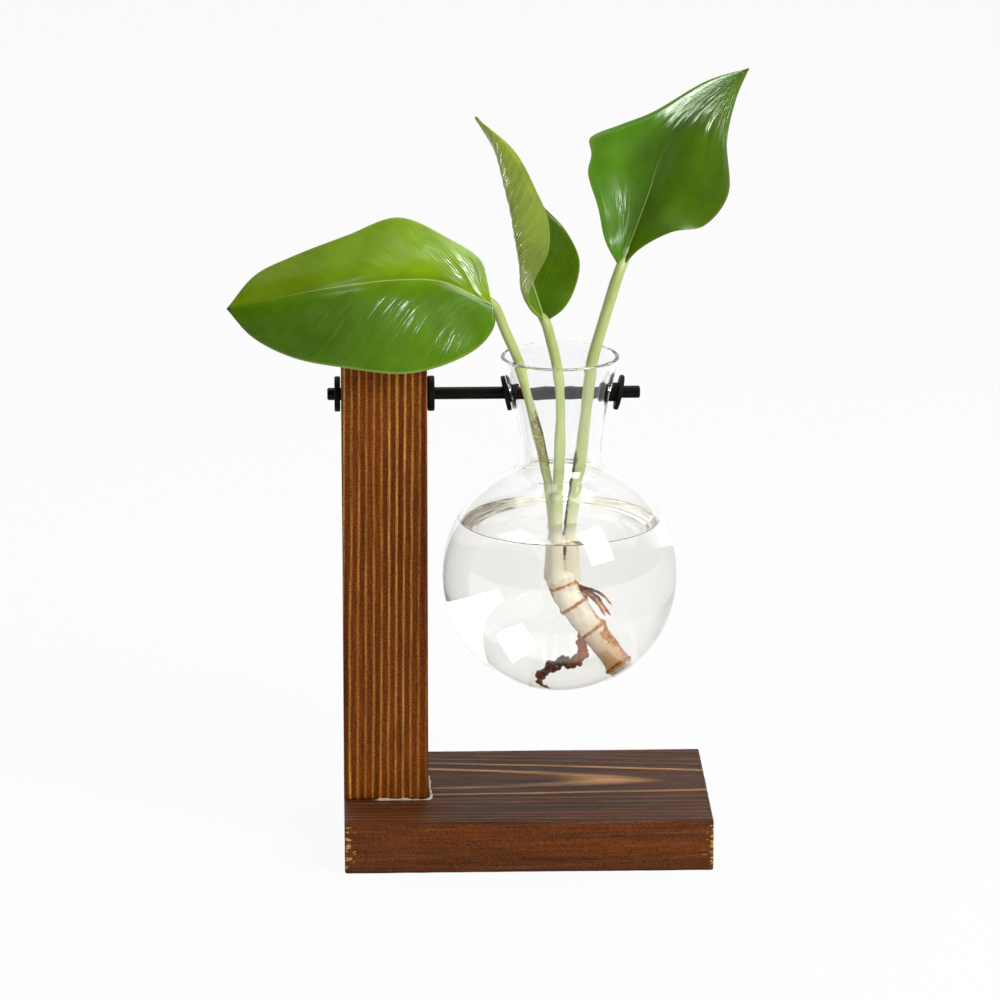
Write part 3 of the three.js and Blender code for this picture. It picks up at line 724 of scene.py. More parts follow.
@dataclass(frozen=True)
class LeafFinish(Finish):
    """A waxy blade: deep green with a pale rib and fine side veins, glossy above and duller below."""

    name: str
    first: str
    second: str
    under: str
    rib: str = "#b9cf74"
    rim: str = "#a8b86a"
    tip: str = "#5a4a22"
    tip_shade: float = 1.0
    rib_valley_shade: float = 1.0
    rough: float = 0.16
    gloss: float = 0.2
    pleats: Pleats = Pleats.ALONG_VEINS
    pleat_depth: float = 0.5
    rib_end: float = 0.95
    rib_wear: float = 0.0
    mottle: float = 9.0

    def surface(self, add: functools.partial) -> dict[str, Any]:
        """Draw the blade over its own rib, veins and halves."""
        place = add("ShaderNodeTexCoord")["Object"]
        half, reach, vein, rib, below, pleat = (
            add("ShaderNodeAttribute", attribute_name=key)["Fac"]
            for key in ("half", "reach", "vein", "rib", "below", "pleat")
        )
        apart = add("ShaderNodeMath", {0: half}, operation="ABSOLUTE")[0]
        side = add("ShaderNodeMapRange", {0: half, 1: -0.22, 2: 0.22}, interpolation_type="SMOOTHSTEP")[0]
        # Fine pleats lie along the side veins, about three to each, or along the rib, some five to each half
        veined = self.pleats is Pleats.ALONG_VEINS
        lanes = ((vein, 2.8), (apart, 1.8)) if veined else ((half, 5.0), (reach, 3.5))
        beside, onward = (
            add("ShaderNodeMath", {0: way, 1: number}, operation="MULTIPLY")[0] for way, number in lanes
        )
        lane = add("ShaderNodeCombineXYZ", {0: beside, 1: onward, 2: side})[0]
        drawn = {"Vector": lane, "Scale": 1.0, "Detail": 2.0, "Roughness": 0.6}
        streak = add("ShaderNodeTexNoise", drawn)[0]
        spots = {"Vector": place, "Scale": 1 / (self.mottle * MM), "Detail": 3.0}
        mottle = add("ShaderNodeTexNoise", spots)[0]
        shade = add("ShaderNodeMapRange", {0: streak, **MOST_NOISE, 3: 0.98, 4: 1.03})[0]
        for layer in (
            {0: mottle, **MOST_NOISE, 3: 0.84, 4: 1.16},
            {0: reach, 1: 0.3, 2: 0.7, 3: 1.0, 4: self.tip_shade},
            # Painted shade darkens the blade towards its rib, where it folds into a valley
            {0: apart, 1: 0.0, 2: 0.5, 3: self.rib_valley_shade, 4: 1.0},
        ):
            depth = add("ShaderNodeMapRange", layer)[0]
            shade = add("ShaderNodeMath", {0: shade, 1: depth}, operation="MULTIPLY")[0]
        colour = linear(self.first)
        for share, coat in ((side, self.second), (below, self.under)):
            colour = add("ShaderNodeMix", {0: share, 6: colour, 7: linear(coat)}, data_type="RGBA")[2]
        shaded = {0: 1.0, 6: colour, 7: shade}
        colour = add("ShaderNodeMix", shaded, data_type="RGBA", blend_type="MULTIPLY")[2]
        # Side veins are pale threads, the rib a stroke that narrows and fades, and the hem and tip dry out
        part = add("ShaderNodeMath", {0: vein}, operation="FRACT")[0]
        aside = add("ShaderNodeMath", {0: part, 1: 0.5}, operation="SUBTRACT")[0]
        aside = add("ShaderNodeMath", {0: aside}, operation="ABSOLUTE")[0]
        thread = add("ShaderNodeMapRange", {0: aside, 1: 0.0, 2: 0.1, 3: 0.025, 4: 0.0})[0]
        width = add("ShaderNodeMapRange", {0: reach, 1: 0.0, 2: 0.9, 3: 0.5, 4: 0.1})[0]
        ratio = add("ShaderNodeMath", {0: rib, 1: width}, operation="DIVIDE")[0]
        stroke = add("ShaderNodeMapRange", {0: ratio, 1: 0.25, 2: 0.75, 3: 0.6, 4: 0.0})[0]
        fading = {0: reach, 1: 0.6 * self.rib_end, 2: self.rib_end, 3: 1.0, 4: 0.0}
        fade = add("ShaderNodeMapRange", fading)[0]
        stroke = add("ShaderNodeMath", {0: stroke, 1: fade}, operation="MULTIPLY")[0]
        hem = add("ShaderNodeMapRange", {0: apart, 1: 0.965, 2: 0.995, 3: 0.0, 4: 0.4})[0]
        end = add("ShaderNodeMapRange", {0: reach, 1: 0.975, 2: 0.995})[0]
        for share, coat in ((thread, self.rib), (stroke, self.rib), (hem, self.rim), (end, self.tip)):
            colour = add("ShaderNodeMix", {0: share, 6: colour, 7: linear(coat)}, data_type="RGBA")[2]
        wax = {0: streak, **MOST_NOISE, 3: self.rough - 0.05, 4: self.rough + 0.1}
        rough = add("ShaderNodeMapRange", wax)[0]
        dull = add("ShaderNodeMath", {0: below, 1: 0.05}, operation="MULTIPLY")[0]
        depth = add("ShaderNodeMapRange", {0: pleat, 1: 0.0, 2: 1.0, 3: 0.05, 4: 0.9})[0]
        pleated = {"Strength": depth, "Distance": self.pleat_depth * MM, "Height": streak}
        return {
            "Base Color": colour,
            "Roughness": add("ShaderNodeMath", {0: rough, 1: dull}, operation="ADD")[0],
            "Normal": add("ShaderNodeBump", pleated)[0],
            "Specular IOR Level": self.shine(add, rib, reach) if self.rib_wear else self.gloss,
        }

    def shine(
        self, add: functools.partial, rib: bpy.types.NodeSocket, reach: bpy.types.NodeSocket
    ) -> bpy.types.NodeSocket:
        """Wear the gloss off along the rib, past the blade's fresh base.

        Args:
            add: add_node, bound to the material's tree.
            rib: distance from the rib, in millimetres.
            reach: share of the way to the tip.

        Returns:
            The specular level.
        """
        worn = {0: rib, 1: 4.0, 2: 8.0, 3: self.gloss * (1 - self.rib_wear), 4: self.gloss}
        worn = add("ShaderNodeMapRange", worn)[0]
        fresh = add("ShaderNodeMapRange", {0: reach, 1: 0.15, 2: 0.25, 3: self.gloss, 4: 0.0})[0]
        return add("ShaderNodeMath", {0: worn, 1: fresh}, operation="MAXIMUM")[0]


@dataclass(frozen=True)
class StemFinish(Finish):
    """A living stem: pale flesh that changes along its length, with fine streaks and brown marks."""

    name: str
    foot: str
    middle: str
    top: str
    streak: str
    rough: float = 0.38
    lanes: float = 26.0
    mark: str = "#b8742e"
    scar: str = "#5a2c10"
    turning: tuple[float, float] = (0.05, 0.4)
    runs: float = 9.0
    pore: float = 0.8
    relief: float = 0.2

    def surface(self, add: functools.partial) -> dict[str, Any]:
        """Draw the stem over its own length, turn and marks."""
        place = add("ShaderNodeTexCoord")["Object"]
        along, around, mark = (
            add("ShaderNodeAttribute", attribute_name=key)["Fac"] for key in ("along", "around", "mark")
        )
        turn = add("ShaderNodeMath", {0: around, 1: FULL_TURN}, operation="MULTIPLY")[0]
        east = add("ShaderNodeMath", {0: turn}, operation="COSINE")[0]
        north = add("ShaderNodeMath", {0: turn}, operation="SINE")[0]
        run = add("ShaderNodeMath", {0: along, 1: self.runs}, operation="MULTIPLY")[0]
        fibres = add("ShaderNodeCombineXYZ", {0: east, 1: north, 2: run})[0]
        lanes = (self.lanes / FULL_TURN, self.lanes / FULL_TURN, 1.0)
        drawn = add("ShaderNodeMapping", {"Vector": fibres, "Scale": lanes})[0]
        streak = add("ShaderNodeTexNoise", {"Vector": drawn, "Scale": 1.0, "Detail": 3.0})[0]
        rise = add("ShaderNodeMapRange", {0: along, 1: self.turning[0], 2: self.turning[1]})[0]
        ripen = add("ShaderNodeMapRange", {0: along, 1: 0.4, 2: 0.95})[0]
        fine = add("ShaderNodeMapRange", {0: streak, 1: 0.46, 2: 0.72, 3: 0.0, 4: 0.6})[0]
        colour = linear(self.foot)
        for share, coat in ((rise, self.middle), (ripen, self.top), (fine, self.streak)):
            colour = add("ShaderNodeMix", {0: share, 6: colour, 7: linear(coat)}, data_type="RGBA")[2]
        # Marks have ragged edges, and are darkest where they are deepest
        pores = add("ShaderNodeTexNoise", {"Vector": place, "Scale": 1 / (self.pore * MM), "Detail": 4.0})[0]
        ragged = add("ShaderNodeMapRange", {0: pores, 1: 0.25, 2: 0.75, 3: -0.45, 4: 0.45})[0]
        edge = add("ShaderNodeMath", {0: mark, 1: ragged}, operation="ADD")[0]
        stain = add("ShaderNodeMapRange", {0: edge, 1: 0.35, 2: 0.75})[0]
        deep = add("ShaderNodeMapRange", {0: edge, 1: 0.95, 2: 1.15})[0]
        husk = {0: deep, 6: linear(self.mark), 7: linear(self.scar)}
        husk = add("ShaderNodeMix", husk, data_type="RGBA")[2]
        skin = {"Strength": 0.25, "Distance": self.relief * MM, "Height": pores}
        return {
            "Base Color": add("ShaderNodeMix", {0: stain, 6: colour, 7: husk}, data_type="RGBA")[2],
            "Roughness": self.rough,
            "Normal": add("ShaderNodeBump", skin)[0],
        }


@dataclass
class TimberStand:
    """The scorched board, the post glued and screwed on it, and the glue that squeezed out."""

    lathe: Turning
    board: tuple[float, float, float] = (125.0, 80.0, 18.0)
    post: tuple[float, float, float] = (29.0, 29.0, 154.0)
    edge: float = 0.8
    edge_wear: float = 0.12
    relief: float = 0.14
    chip_depth: float = 0.7
    ring_count: int = 64
    first_ring: int = 20
    board_steps: Point = (1.1, 0.55, 0.55)
    board_pitch: float = 2.4
    arch_radius: float = 36.8
    pith_depth: float = 36.0
    pith_tilt: float = 0.0266
    pith_offset: tuple[float, float] = (7.0, -0.04)
    post_steps: Point = (0.45, 0.45, 1.8)
    post_pitch: float = 2.53
    post_pith: tuple[float, float] = (-151.0, 4.0)
    post_first_line: float = 3.4
    post_lean: float = 0.0086
    post_bright_ends: float = 30.0
    bore_radius: float = 2.4
    screw_spacing: float = 14.0
    screw_hole: tuple[float, float, float, float] = (4.3, 0.6, 2.3, 4.1)
    cut_past: float = 2.0
    bead_width: float = 1.2
    bead_height: float = 0.8
    bead_runs: tuple[float, float] = (19.0, 26.0)
    bead_points: int = 160
    board_finish: TorchedTimber = TorchedTimber(
        "torched_pine_board", Grain.LENGTHWISE, char="#321d10", body="#6c360c", line="#d09a66",
        rough=0.56, line_width=0.2, gloss=0.16,
    )
    post_finish: TorchedTimber = TorchedTimber(
        "torched_pine_post", Grain.UPRIGHT, char="#481b04", body="#7a3a08", line="#dc9e48",
        rough=0.5, line_width=0.26, gloss=0.1,
    )

    @property
    def post_x(self) -> float:
        """Where the post's middle stands along the board."""
        return (self.post[0] - self.board[0]) / 2

    def block(self, low: Point, high: Point, steps: Point) -> tuple[np.ndarray, np.ndarray, np.ndarray]:
        """Lay a lattice over a block with rounded edges.

        Args:
            low: lowest corner.
            high: highest corner.
            steps: lattice step along each axis.

        Returns:
            Points, outward normals and four-cornered faces.
        """
        bend = self.edge * np.array((0.0, 0.3, 0.65))
        axes = []
        for a, b, step in zip(low, high, steps):
            inner = np.linspace(a + self.edge, b - self.edge, round((b - a) / step))
            axes.append(np.concatenate([a + bend, inner, (b - bend)[::-1]]))
        grid = np.stack(np.meshgrid(*axes, indexing="ij"), axis=-1)
        skin = np.ones(grid.shape[:3], bool)
        skin[1:-1, 1:-1, 1:-1] = False
        index = np.full(skin.shape, -1)
        index[skin] = np.arange(skin.sum())
        core = np.clip(grid[skin], np.add(low, self.edge), np.subtract(high, self.edge))
        normals = unit(grid[skin] - core)
        quads = []
        for axis, end in itertools.product(range(3), (0, -1)):
            face = index.take(end, axis=axis)
            corners = (face[:-1, :-1], face[1:, :-1], face[1:, 1:], face[:-1, 1:])
            quads.append(np.stack(corners, axis=-1).reshape(-1, 4))
        return core + self.edge * normals, normals, np.vstack(quads)

    def dress_block(
        self, name: str, lattice: tuple, fields: dict[str, np.ndarray], finish: TorchedTimber
    ) -> bpy.types.Object:
        """Sink the soft wood between the growth lines and make the block.

        Args:
            name: the piece's name.
            lattice: points, normals and faces.
            fields: at each point, the growth ring's count, its line's glow, chips and scorching.
            finish: the timber's finish.

        Returns:
            The object.
        """
        points, normals, quads = lattice
        ridge = bell(fields["ring"] % 1 - 0.5, width=0.2) * (0.35 + 0.65 * ramp(fields["glow"]))
        on_edge = np.abs(normals).max(axis=1) < 0.99
        wear = self.edge_wear * np.abs(smooth_noise(points, cell=6, seed=41)) * on_edge
        torn = ramp(smooth_noise(points * (0.3, 0.6, 1), cell=0.9, seed=6)) * fields["chip"]
        sunk = self.relief * (1 - ridge) + wear + self.chip_depth * torn
        return make_object(name, points - normals * sunk[:, None], quads, finish.material(), fields)

    def ring_tones(self, ring: np.ndarray, tones: np.ndarray) -> np.ndarray:
        """Give each point its growth ring's own tone."""
        return tones[np.clip(ring.astype(int), 0, self.ring_count - 1)]

    def make_board(self) -> bpy.types.Object:
        """Make the board, with its growth rings arching along the top."""
        length, depth, height = self.board
        low, high = (-length / 2, -depth / 2, 0), (length / 2, depth / 2, height)
        lattice = self.block(low, high, self.board_steps)
        points = lattice[0]
        x, y, z = points.T
        drawn = points * (0.2, 1, 1)
        sway = 0.12 * smooth_noise(drawn, cell=9, seed=3) + 0.05 * smooth_noise(drawn, cell=3, seed=4)
        across = y - self.pith_offset[0] - self.pith_offset[1] * x
        down = self.pith_depth + self.pith_tilt * x - (height - z)
        ring = np.hypot(across, down) + sway - self.arch_radius
        ring = ring / self.board_pitch + self.first_ring + 0.5
        tones = np.random.default_rng(8).uniform(0.1, 0.4, self.ring_count)
        tones[self.first_ring : self.first_ring + 2] = 1.0
        fade = np.clip(0.75 + 0.6 * smooth_noise(points * (0.12, 1, 1), cell=5, seed=5), 0.15, 1)
        upward = ramp(lattice[1][:, 2])
        glow = self.ring_tones(ring, tones) * fade * (0.25 + 0.75 * upward)
        # The front's ends are chipped, and the top is scorched more than the front, but less by the post
        end = length / 2 - np.abs(x)
        front = ramp(1 - (y + depth / 2) / 1.5)
        chip = ramp(1.15 - end / 5) * front * ramp(z / 2) * ramp((height - z) / 1.5)
        corner = ramp((-x - 25) / 15) * ramp((-y - 12) / 6)
        # Its last term is painted shade: it darkens the lowest edge, where the board sits on the floor
        scorch = 0.25 + 0.5 * upward * (1 - 0.7 * corner) + 0.7 * ramp(1 - z / 1.6)
        scorch += 0.25 * ramp(1 - end / 2)
        fields = {"ring": ring, "glow": glow, "chip": chip, "scorch": scorch}
        piece = self.dress_block("board_timber", lattice, fields, self.board_finish)
        for side in (-1, 1):
            combine(piece, self.screw_cutter(side), "DIFFERENCE")
        return piece

    def screw_cutter(self, side: int) -> bpy.types.Object:
        """Make the countersunk hole of one foot screw, for cutting."""
        head, rim, shank, sink = self.screw_hole
        low, high = -self.cut_past, self.board[2] + self.cut_past
        outline = [(0, low), (head, low), (head, rim), (shank, sink), (shank, high), (0, high)]
        place = Matrix.Translation((self.post_x, side * self.screw_spacing / 2, 0))
        return self.lathe.solid("screw_hole", outline, DRILLED.material(), place, facets=32)

    def make_post(self) -> bpy.types.Object:
        """Make the post, with its growth lines running up the front."""
        width, depth, height = self.post
        foot = self.board[2]
        low = (self.post_x - width / 2, -depth / 2, foot)
        high = (self.post_x + width / 2, depth / 2, foot + height)
        lattice = self.block(low, high, self.post_steps)
        points = lattice[0]
        x, y, z = points.T
        drift = 0.35 * smooth_noise(points * (0.4, 1, 0.06), cell=4, seed=11)
        drift += 0.1 * smooth_noise(points * (1, 1, 0.25), cell=4, seed=12)
        pith = self.post_pith
        first = np.hypot(low[0] + self.post_first_line - pith[0], low[1] - pith[1])
        outward = np.hypot(x - pith[0], y - pith[1]) - first
        ring = (outward + self.post_lean * (high[2] - z) + drift) / self.post_pitch + (self.first_ring + 0.5)
        tones = np.random.default_rng(15).uniform(0.7, 1.0, self.ring_count)
        fade = np.clip(0.85 + 0.4 * smooth_noise(points * (1, 1, 0.1), cell=5, seed=13), 0.35, 1)
        glow = self.ring_tones(ring, tones) * fade * np.clip((high[0] - x) / 5, 0.4, 1)
        # Both ends are brighter, and the upright edges are burnt
        bright = bell(z - high[2], self.post_bright_ends) + 0.9 * bell(z - low[2], self.post_bright_ends)
        glow *= 0.72 + 0.28 * ramp(bright)
        burnt = ramp(1 - (high[0] - x) / 4) + ramp(1 - (x - low[0]) / 2)
        scorch = 0.5 + 0.4 * burnt - 0.5 * ramp(bright)
        fields = {"ring": ring, "glow": glow, "chip": np.zeros(len(x)), "scorch": scorch}
        piece = self.dress_block("post_timber", lattice, fields, self.post_finish)
        outline = pin(self.bore_radius, -width, width)
        bore = self.lathe.solid("bore", outline, DRILLED.material(), along_rod(self.post_x), facets=48)
        combine(piece, bore, "DIFFERENCE")
        return piece

    def make_bead(self) -> bpy.types.Object:
        """Make the uneven bead of glue along the post's foot."""
        right, front = self.post_x + self.post[0] / 2, -self.post[1] / 2
        turn = self.bead_width * 0.35
        left_run, back_run = self.bead_runs
        knots = [
            (right - left_run, front - turn, 0),
            (right - left_run / 2, front - turn, 0),
            (right - turn, front - turn, 0),
            (right + turn, front + turn, 0),
            (right + turn, front + back_run / 2, 0),
            (right + turn, front + back_run, 0),
        ]
        path = evenly(spline(knots, per_span=40), self.bead_points)
        swell = 0.75 + 0.45 * smooth_noise(path, cell=2.2, seed=21)
        swell += 0.25 * smooth_noise(path, cell=0.8, seed=22)
        number = np.arange(self.bead_points)
        ends = np.clip(np.minimum(number, number[::-1]) / 8, 0.08, 1)
        path[:, 2] = self.board[2] + 0.1
        radii = np.clip(swell, 0.3, 1.15) * ends * self.bead_height * 0.85
        shell, _ = Shell.tube(path, radii, 12)
        shell.points[:, 2] = np.maximum(shell.points[:, 2], self.board[2])
        return make_object("glue_line", shell.points, shell.faces, GLUE.material())

    def build(self) -> None:
        """Make the stand's pieces and let them ride on it."""
        settle(self.make_board(), "stand", "torched_board", "base_board")
        settle(self.make_post(), "stand", "torched_post", "post")
        settle(self.make_bead(), "stand", "wood_glue", "glue_bead")


@dataclass
class RodSet:
    """The black steel rod and the rubber rings that hold it in the post."""

    lathe: Turning
    radius: float = ROD_RADIUS
    ends: tuple[float, float] = (-67.1, 38.57)
    end_margin: float = 2.0
    chamfer: float = 0.4
    rows: int = 40
    ring_radius: float = 6.0
    ring_bore: float = 2.4
    ring_fillet: float = 0.55
    rings: tuple[tuple[str, float, float], ...] = (("outer", -64.7, 2.0), ("inner", -33.3, 2.4))

    def rod_outline(self) -> Outline:
        """Draw the rod with its chamfered ends."""
        left, right = self.ends
        neck = self.radius - self.chamfer
        rows = np.linspace(left + self.end_margin, right - self.end_margin, self.rows)
        shaft = [(self.radius, x) for x in (left + self.chamfer, *rows, right - self.chamfer)]
        return [(0, left), (neck, left), *shaft, (neck, right), (0, right)]

    def build(self) -> None:
        """Make the rod and its rings and let them ride together."""
        steel = BLACK_STEEL.material()
        rod = self.lathe.solid("steel_rod", self.rod_outline(), steel, along_rod(0), facets=48)
        settle(rod, "rod", "black_rod", "rod")
        rubber = BLACK_RUBBER.material()
        for side, left, thickness in self.rings:
            right = left + thickness
            rim = rounded_rim(self.ring_radius, left, right, self.ring_fillet, steps=6)
            outline = [(self.ring_bore, left), *rim, (self.ring_bore, right)]
            ring = self.lathe.solid(f"post_ring_{side}", outline, rubber, along_rod(0), loop=True)
            settle(ring, "rod", "black_rubber", f"post_washer_{side}")


@dataclass
class HangingFlask:
    """The blown flask: a round bulb, a flared neck with a polished lip, and rubber bushes in its holes."""

    lathe: Turning
    bulb_radius: float = 40.0
    neck_radius: float = 13.9
    neck_length: float = 35.4
    rim_radius: float = 20.3
    flare_power: float = 1.5
    shoulder: float = 6.0
    wall: float = 1.6
    wave: float = 0.22
    hole_below_rim: float = 13.0
    hole_radius: float = 3.5
    across: float = 11.5
    facets: int = 128
    flange: tuple[float, float, float] = (6.0, 1.5, 0.45)
    sleeve: tuple[float, float] = (3.2, 2.4)
    sleeve_past: float = 1.0
    cut_past: float = 3.0
    stand_offs: tuple[tuple[str, int, float], ...] = (("outer", 1, 2.1), ("inner", -1, 0.3))

    @property
    def neck_foot(self) -> float:
        """Height of the neck's foot above the bulb's centre."""
        return math.sqrt((self.bulb_radius + self.shoulder) ** 2 - (self.neck_radius + self.shoulder) ** 2)

    @property
    def rim_height(self) -> float:
        """Height of the rim above the bulb's centre."""
        return self.neck_foot + self.neck_length

    @property
    def hole_height(self) -> float:
        """Height of the holes above the bulb's centre."""
        return self.rim_height - self.hole_below_rim

    @property
    def centre(self) -> np.ndarray:
        """The bulb's centre in the part's frame."""
        return np.array((self.across, 0, ROD_HEIGHT - self.hole_height))

    @property
    def inner_radius(self) -> float:
        """The bulb's radius inside."""
        return self.bulb_radius - self.wall

    def neck_at(self, height: float) -> float:
        """Outer radius of the neck at a height above the bulb's centre."""
        share = max(height - self.neck_foot, 0) / self.neck_length
        return self.neck_radius + (self.rim_radius - self.neck_radius) * share**self.flare_power

    def wall_line(self, inset: float) -> Outline:
        """Draw one face of the glass from the bottom to the lip.

        Args:
            inset: how far the face lies inside the outer one.

        Returns:
            Points of radius and height above the bulb's centre.
        """
        reach = self.neck_radius + self.shoulder
        lean = math.atan2(self.neck_foot, reach)
        bulb = [
            ((self.bulb_radius - inset) * math.cos(a), (self.bulb_radius - inset) * math.sin(a))
            for a in np.linspace(-QUARTER_TURN, lean, 72)
        ]
        bend = self.shoulder + inset
        fillet = [
            (reach + bend * math.cos(a), self.neck_foot + bend * math.sin(a))
            for a in np.linspace(math.pi + lean, math.pi, 12)[1:]
        ]
        top = self.rim_height - self.wall / 2
        flare = [(self.neck_at(z) - inset, z) for z in np.linspace(self.neck_foot, top, 30)[1:]]
        return [(max(r, 0.0), z) for r, z in bulb] + fillet + flare

    def make_glass(self) -> bpy.types.Object:
        """Blow the flask, with a slightly uneven inner face in the neck, and drill its holes."""
        outer, inner = self.wall_line(0), self.wall_line(self.wall)[::-1]
        half = self.wall / 2
        radius, height = outer[-1][0] - half, outer[-1][1]
        bends = np.linspace(0, math.pi, 11)[1:-1]
        lip = [(radius + half * math.cos(a), height + half * math.sin(a)) for a in bends]
        place = Matrix.Translation(self.centre)
        glass = self.lathe.solid("flask_glass", [*outer, *lip, *inner], GLASS.material(), place, self.facets)
        points = np.array([v.co for v in glass.data.vertices]) / MM - self.centre
        radii, z = np.hypot(points[:, 0], points[:, 1]), points[:, 2]
        inside = radii < np.array([self.neck_at(height) for height in z]) - half
        uneven = ramp((z - self.neck_foot - 2) / 8) * (ramp((self.rim_height - 1.5 - z) / 4) * inside)
        waves = smooth_noise(points * (1, 1, 0.22), cell=5, seed=31)
        waves += 0.5 * smooth_noise(points * (1, 1, 0.3), cell=2.6, seed=32)
        points[:, :2] *= (1 + self.wave * waves * uneven / np.maximum(radii, 1))[:, None]
        glass.data.vertices.foreach_set("co", ((points + self.centre) * MM).ravel())
        drill = pin(self.hole_radius, -2 * self.rim_radius, 2 * self.rim_radius)
        hole = self.lathe.solid("neck_hole", drill, DRILLED.material(), along_rod(self.across), facets=48)
        combine(glass, hole, "DIFFERENCE", crease=50)
        return glass

    def make_bush(self, name: str, side: int, stand_off: float) -> bpy.types.Object:
        """Mould one rubber bush: a flange that lies along the flare and a sleeve that lines the hole.

        Args:
            name: the piece's name.
            side: 1 on the rod's free side, -1 on the post's side.
            stand_off: gap between the flange and the glass.

        Returns:
            The object.
        """
        outer = self.neck_at(self.hole_height)
        step = 0.01
        slope = math.atan((self.neck_at(self.hole_height + step) - outer) / step)
        face = outer + stand_off
        radius, thickness, fillet = self.flange
        sleeve, bore = self.sleeve
        disc = [(0, 0), *rounded_rim(radius, 0, thickness, fillet, steps=5), (0, thickness)]
        turn = Matrix.Rotation(0 if side > 0 else math.pi, 4, "Z")
        turn = Matrix.Translation((self.across, 0, ROD_HEIGHT)) @ turn
        lay = Matrix.Rotation(QUARTER_TURN, 4, "Y")
        rubber = BLACK_RUBBER.material()
        tilt = turn @ Matrix.Translation((face, 0, 0)) @ Matrix.Rotation(slope, 4, "Y") @ lay
        bush = self.lathe.solid(name, disc, rubber, tilt)
        inside = outer - self.wall / math.cos(slope) - self.sleeve_past
        lining = pin(sleeve, inside, face + thickness / 2)
        hole = pin(bore, inside - self.cut_past, face + thickness + self.cut_past)
        combine(bush, self.lathe.solid("lining", lining, rubber, turn @ lay, facets=48), "UNION")
        combine(bush, self.lathe.solid("bush_hole", hole, rubber, turn @ lay, facets=48), "DIFFERENCE")
        return bush

    def build(self) -> None:
        """Make the flask and its bushes and let them swing together."""
        settle(self.make_glass(), "flask", "clear_glass", "flask")
        for name, side, gap in self.stand_offs:
            bush = self.make_bush(f"neck_bush_{name}", side, gap)
            settle(bush, "flask", "black_rubber", f"neck_grommet_{name}")


class Place(Enum):
    """Where a stalk stands in the neck."""

    LEFT = "left"
    MIDDLE = "middle"
    RIGHT = "right"


@dataclass(frozen=True)
class Husk:
    """A dried brown sheath on a stalk: its heights, its side and edge there, and its seam's side."""

    low: float
    high: float
    side: Point
    edge: float
    seam: Point


@dataclass(frozen=True)
class StalkPlan:
    """How one stalk runs from the crown through the neck to its blade.

    Its radii are at the foot and the top. It stands aside and back on the crown and in the water's surface,
    in front of the middle at the neck's foot, and aside by shares of the free half-width at the neck's
    foot, the holes and the rim. Past the rim it runs on to its end.
    """

    radii: tuple[float, float]
    crown: tuple[float, float]
    water: tuple[float, float]
    neck_forward: float
    shares: tuple[float, float, float]
    end: tuple[float, float, float]
    husk: Husk | None = None


@dataclass(frozen=True)
class PleatedZone:
    """A patch of a blade with fine pleats: its middle and its spread, both along the rib and across it."""

    reach: float
    half: float
    length: float
    width: float


@dataclass(frozen=True)
class Fold:
    """A low fold on a blade's first half: its reach at the rib and at the edge, its height and its width."""

    start: float
    end: float
    rise: float
    width: float


@dataclass(frozen=True)
class BladePlan:
    """The rails that a blade is drawn over, each counted from the blade's base.

    Each rail has its place from one edge (-1) through the rib (0) to the other edge (1), in halves.
    """

    tip: Point
    rails: tuple[tuple[Point, ...], ...]
    halves: tuple[float, ...]
    finish: LeafFinish
    pleats: tuple[PleatedZone, ...]
    facing: Point = (0.0, -1.0, 0.3)
    fold: Fold | None = None


STALKS = {
    Place.LEFT: StalkPlan(
        radii=(1.5, 1.7),
        crown=(-2.2, 1.6),
        water=(-2.4, 2.7),
        neck_forward=3.2,
        shares=(-0.58, -0.89, -0.97),
        end=(-9, -2.5, 20.5),
        husk=Husk(low=38.0, high=62.0, side=(0.2, -1.0, 0.1), edge=0.2, seam=(0.85, -0.5, 0.15)),
    ),
    Place.MIDDLE: StalkPlan(
        radii=(1.9, 1.75),
        crown=(-0.9, -1.9),
        water=(-1.3, -2.1),
        neck_forward=5.8,
        shares=(-0.05, -0.02, -0.12),
        end=(-3.4, -1.2, 13.3),
    ),
    Place.RIGHT: StalkPlan(
        radii=(2.1, 1.9),
        crown=(3.0, 0.5),
        water=(3.6, 0.1),
        neck_forward=4.6,
        shares=(0.76, 0.78, 0.75),
        end=(9, -1.5, 31.5),
        husk=Husk(low=4.0, high=48.0, side=(-1.0, -0.25, 0.0), edge=0.82, seam=(-0.9, -0.4, 0.0)),
    ),
}

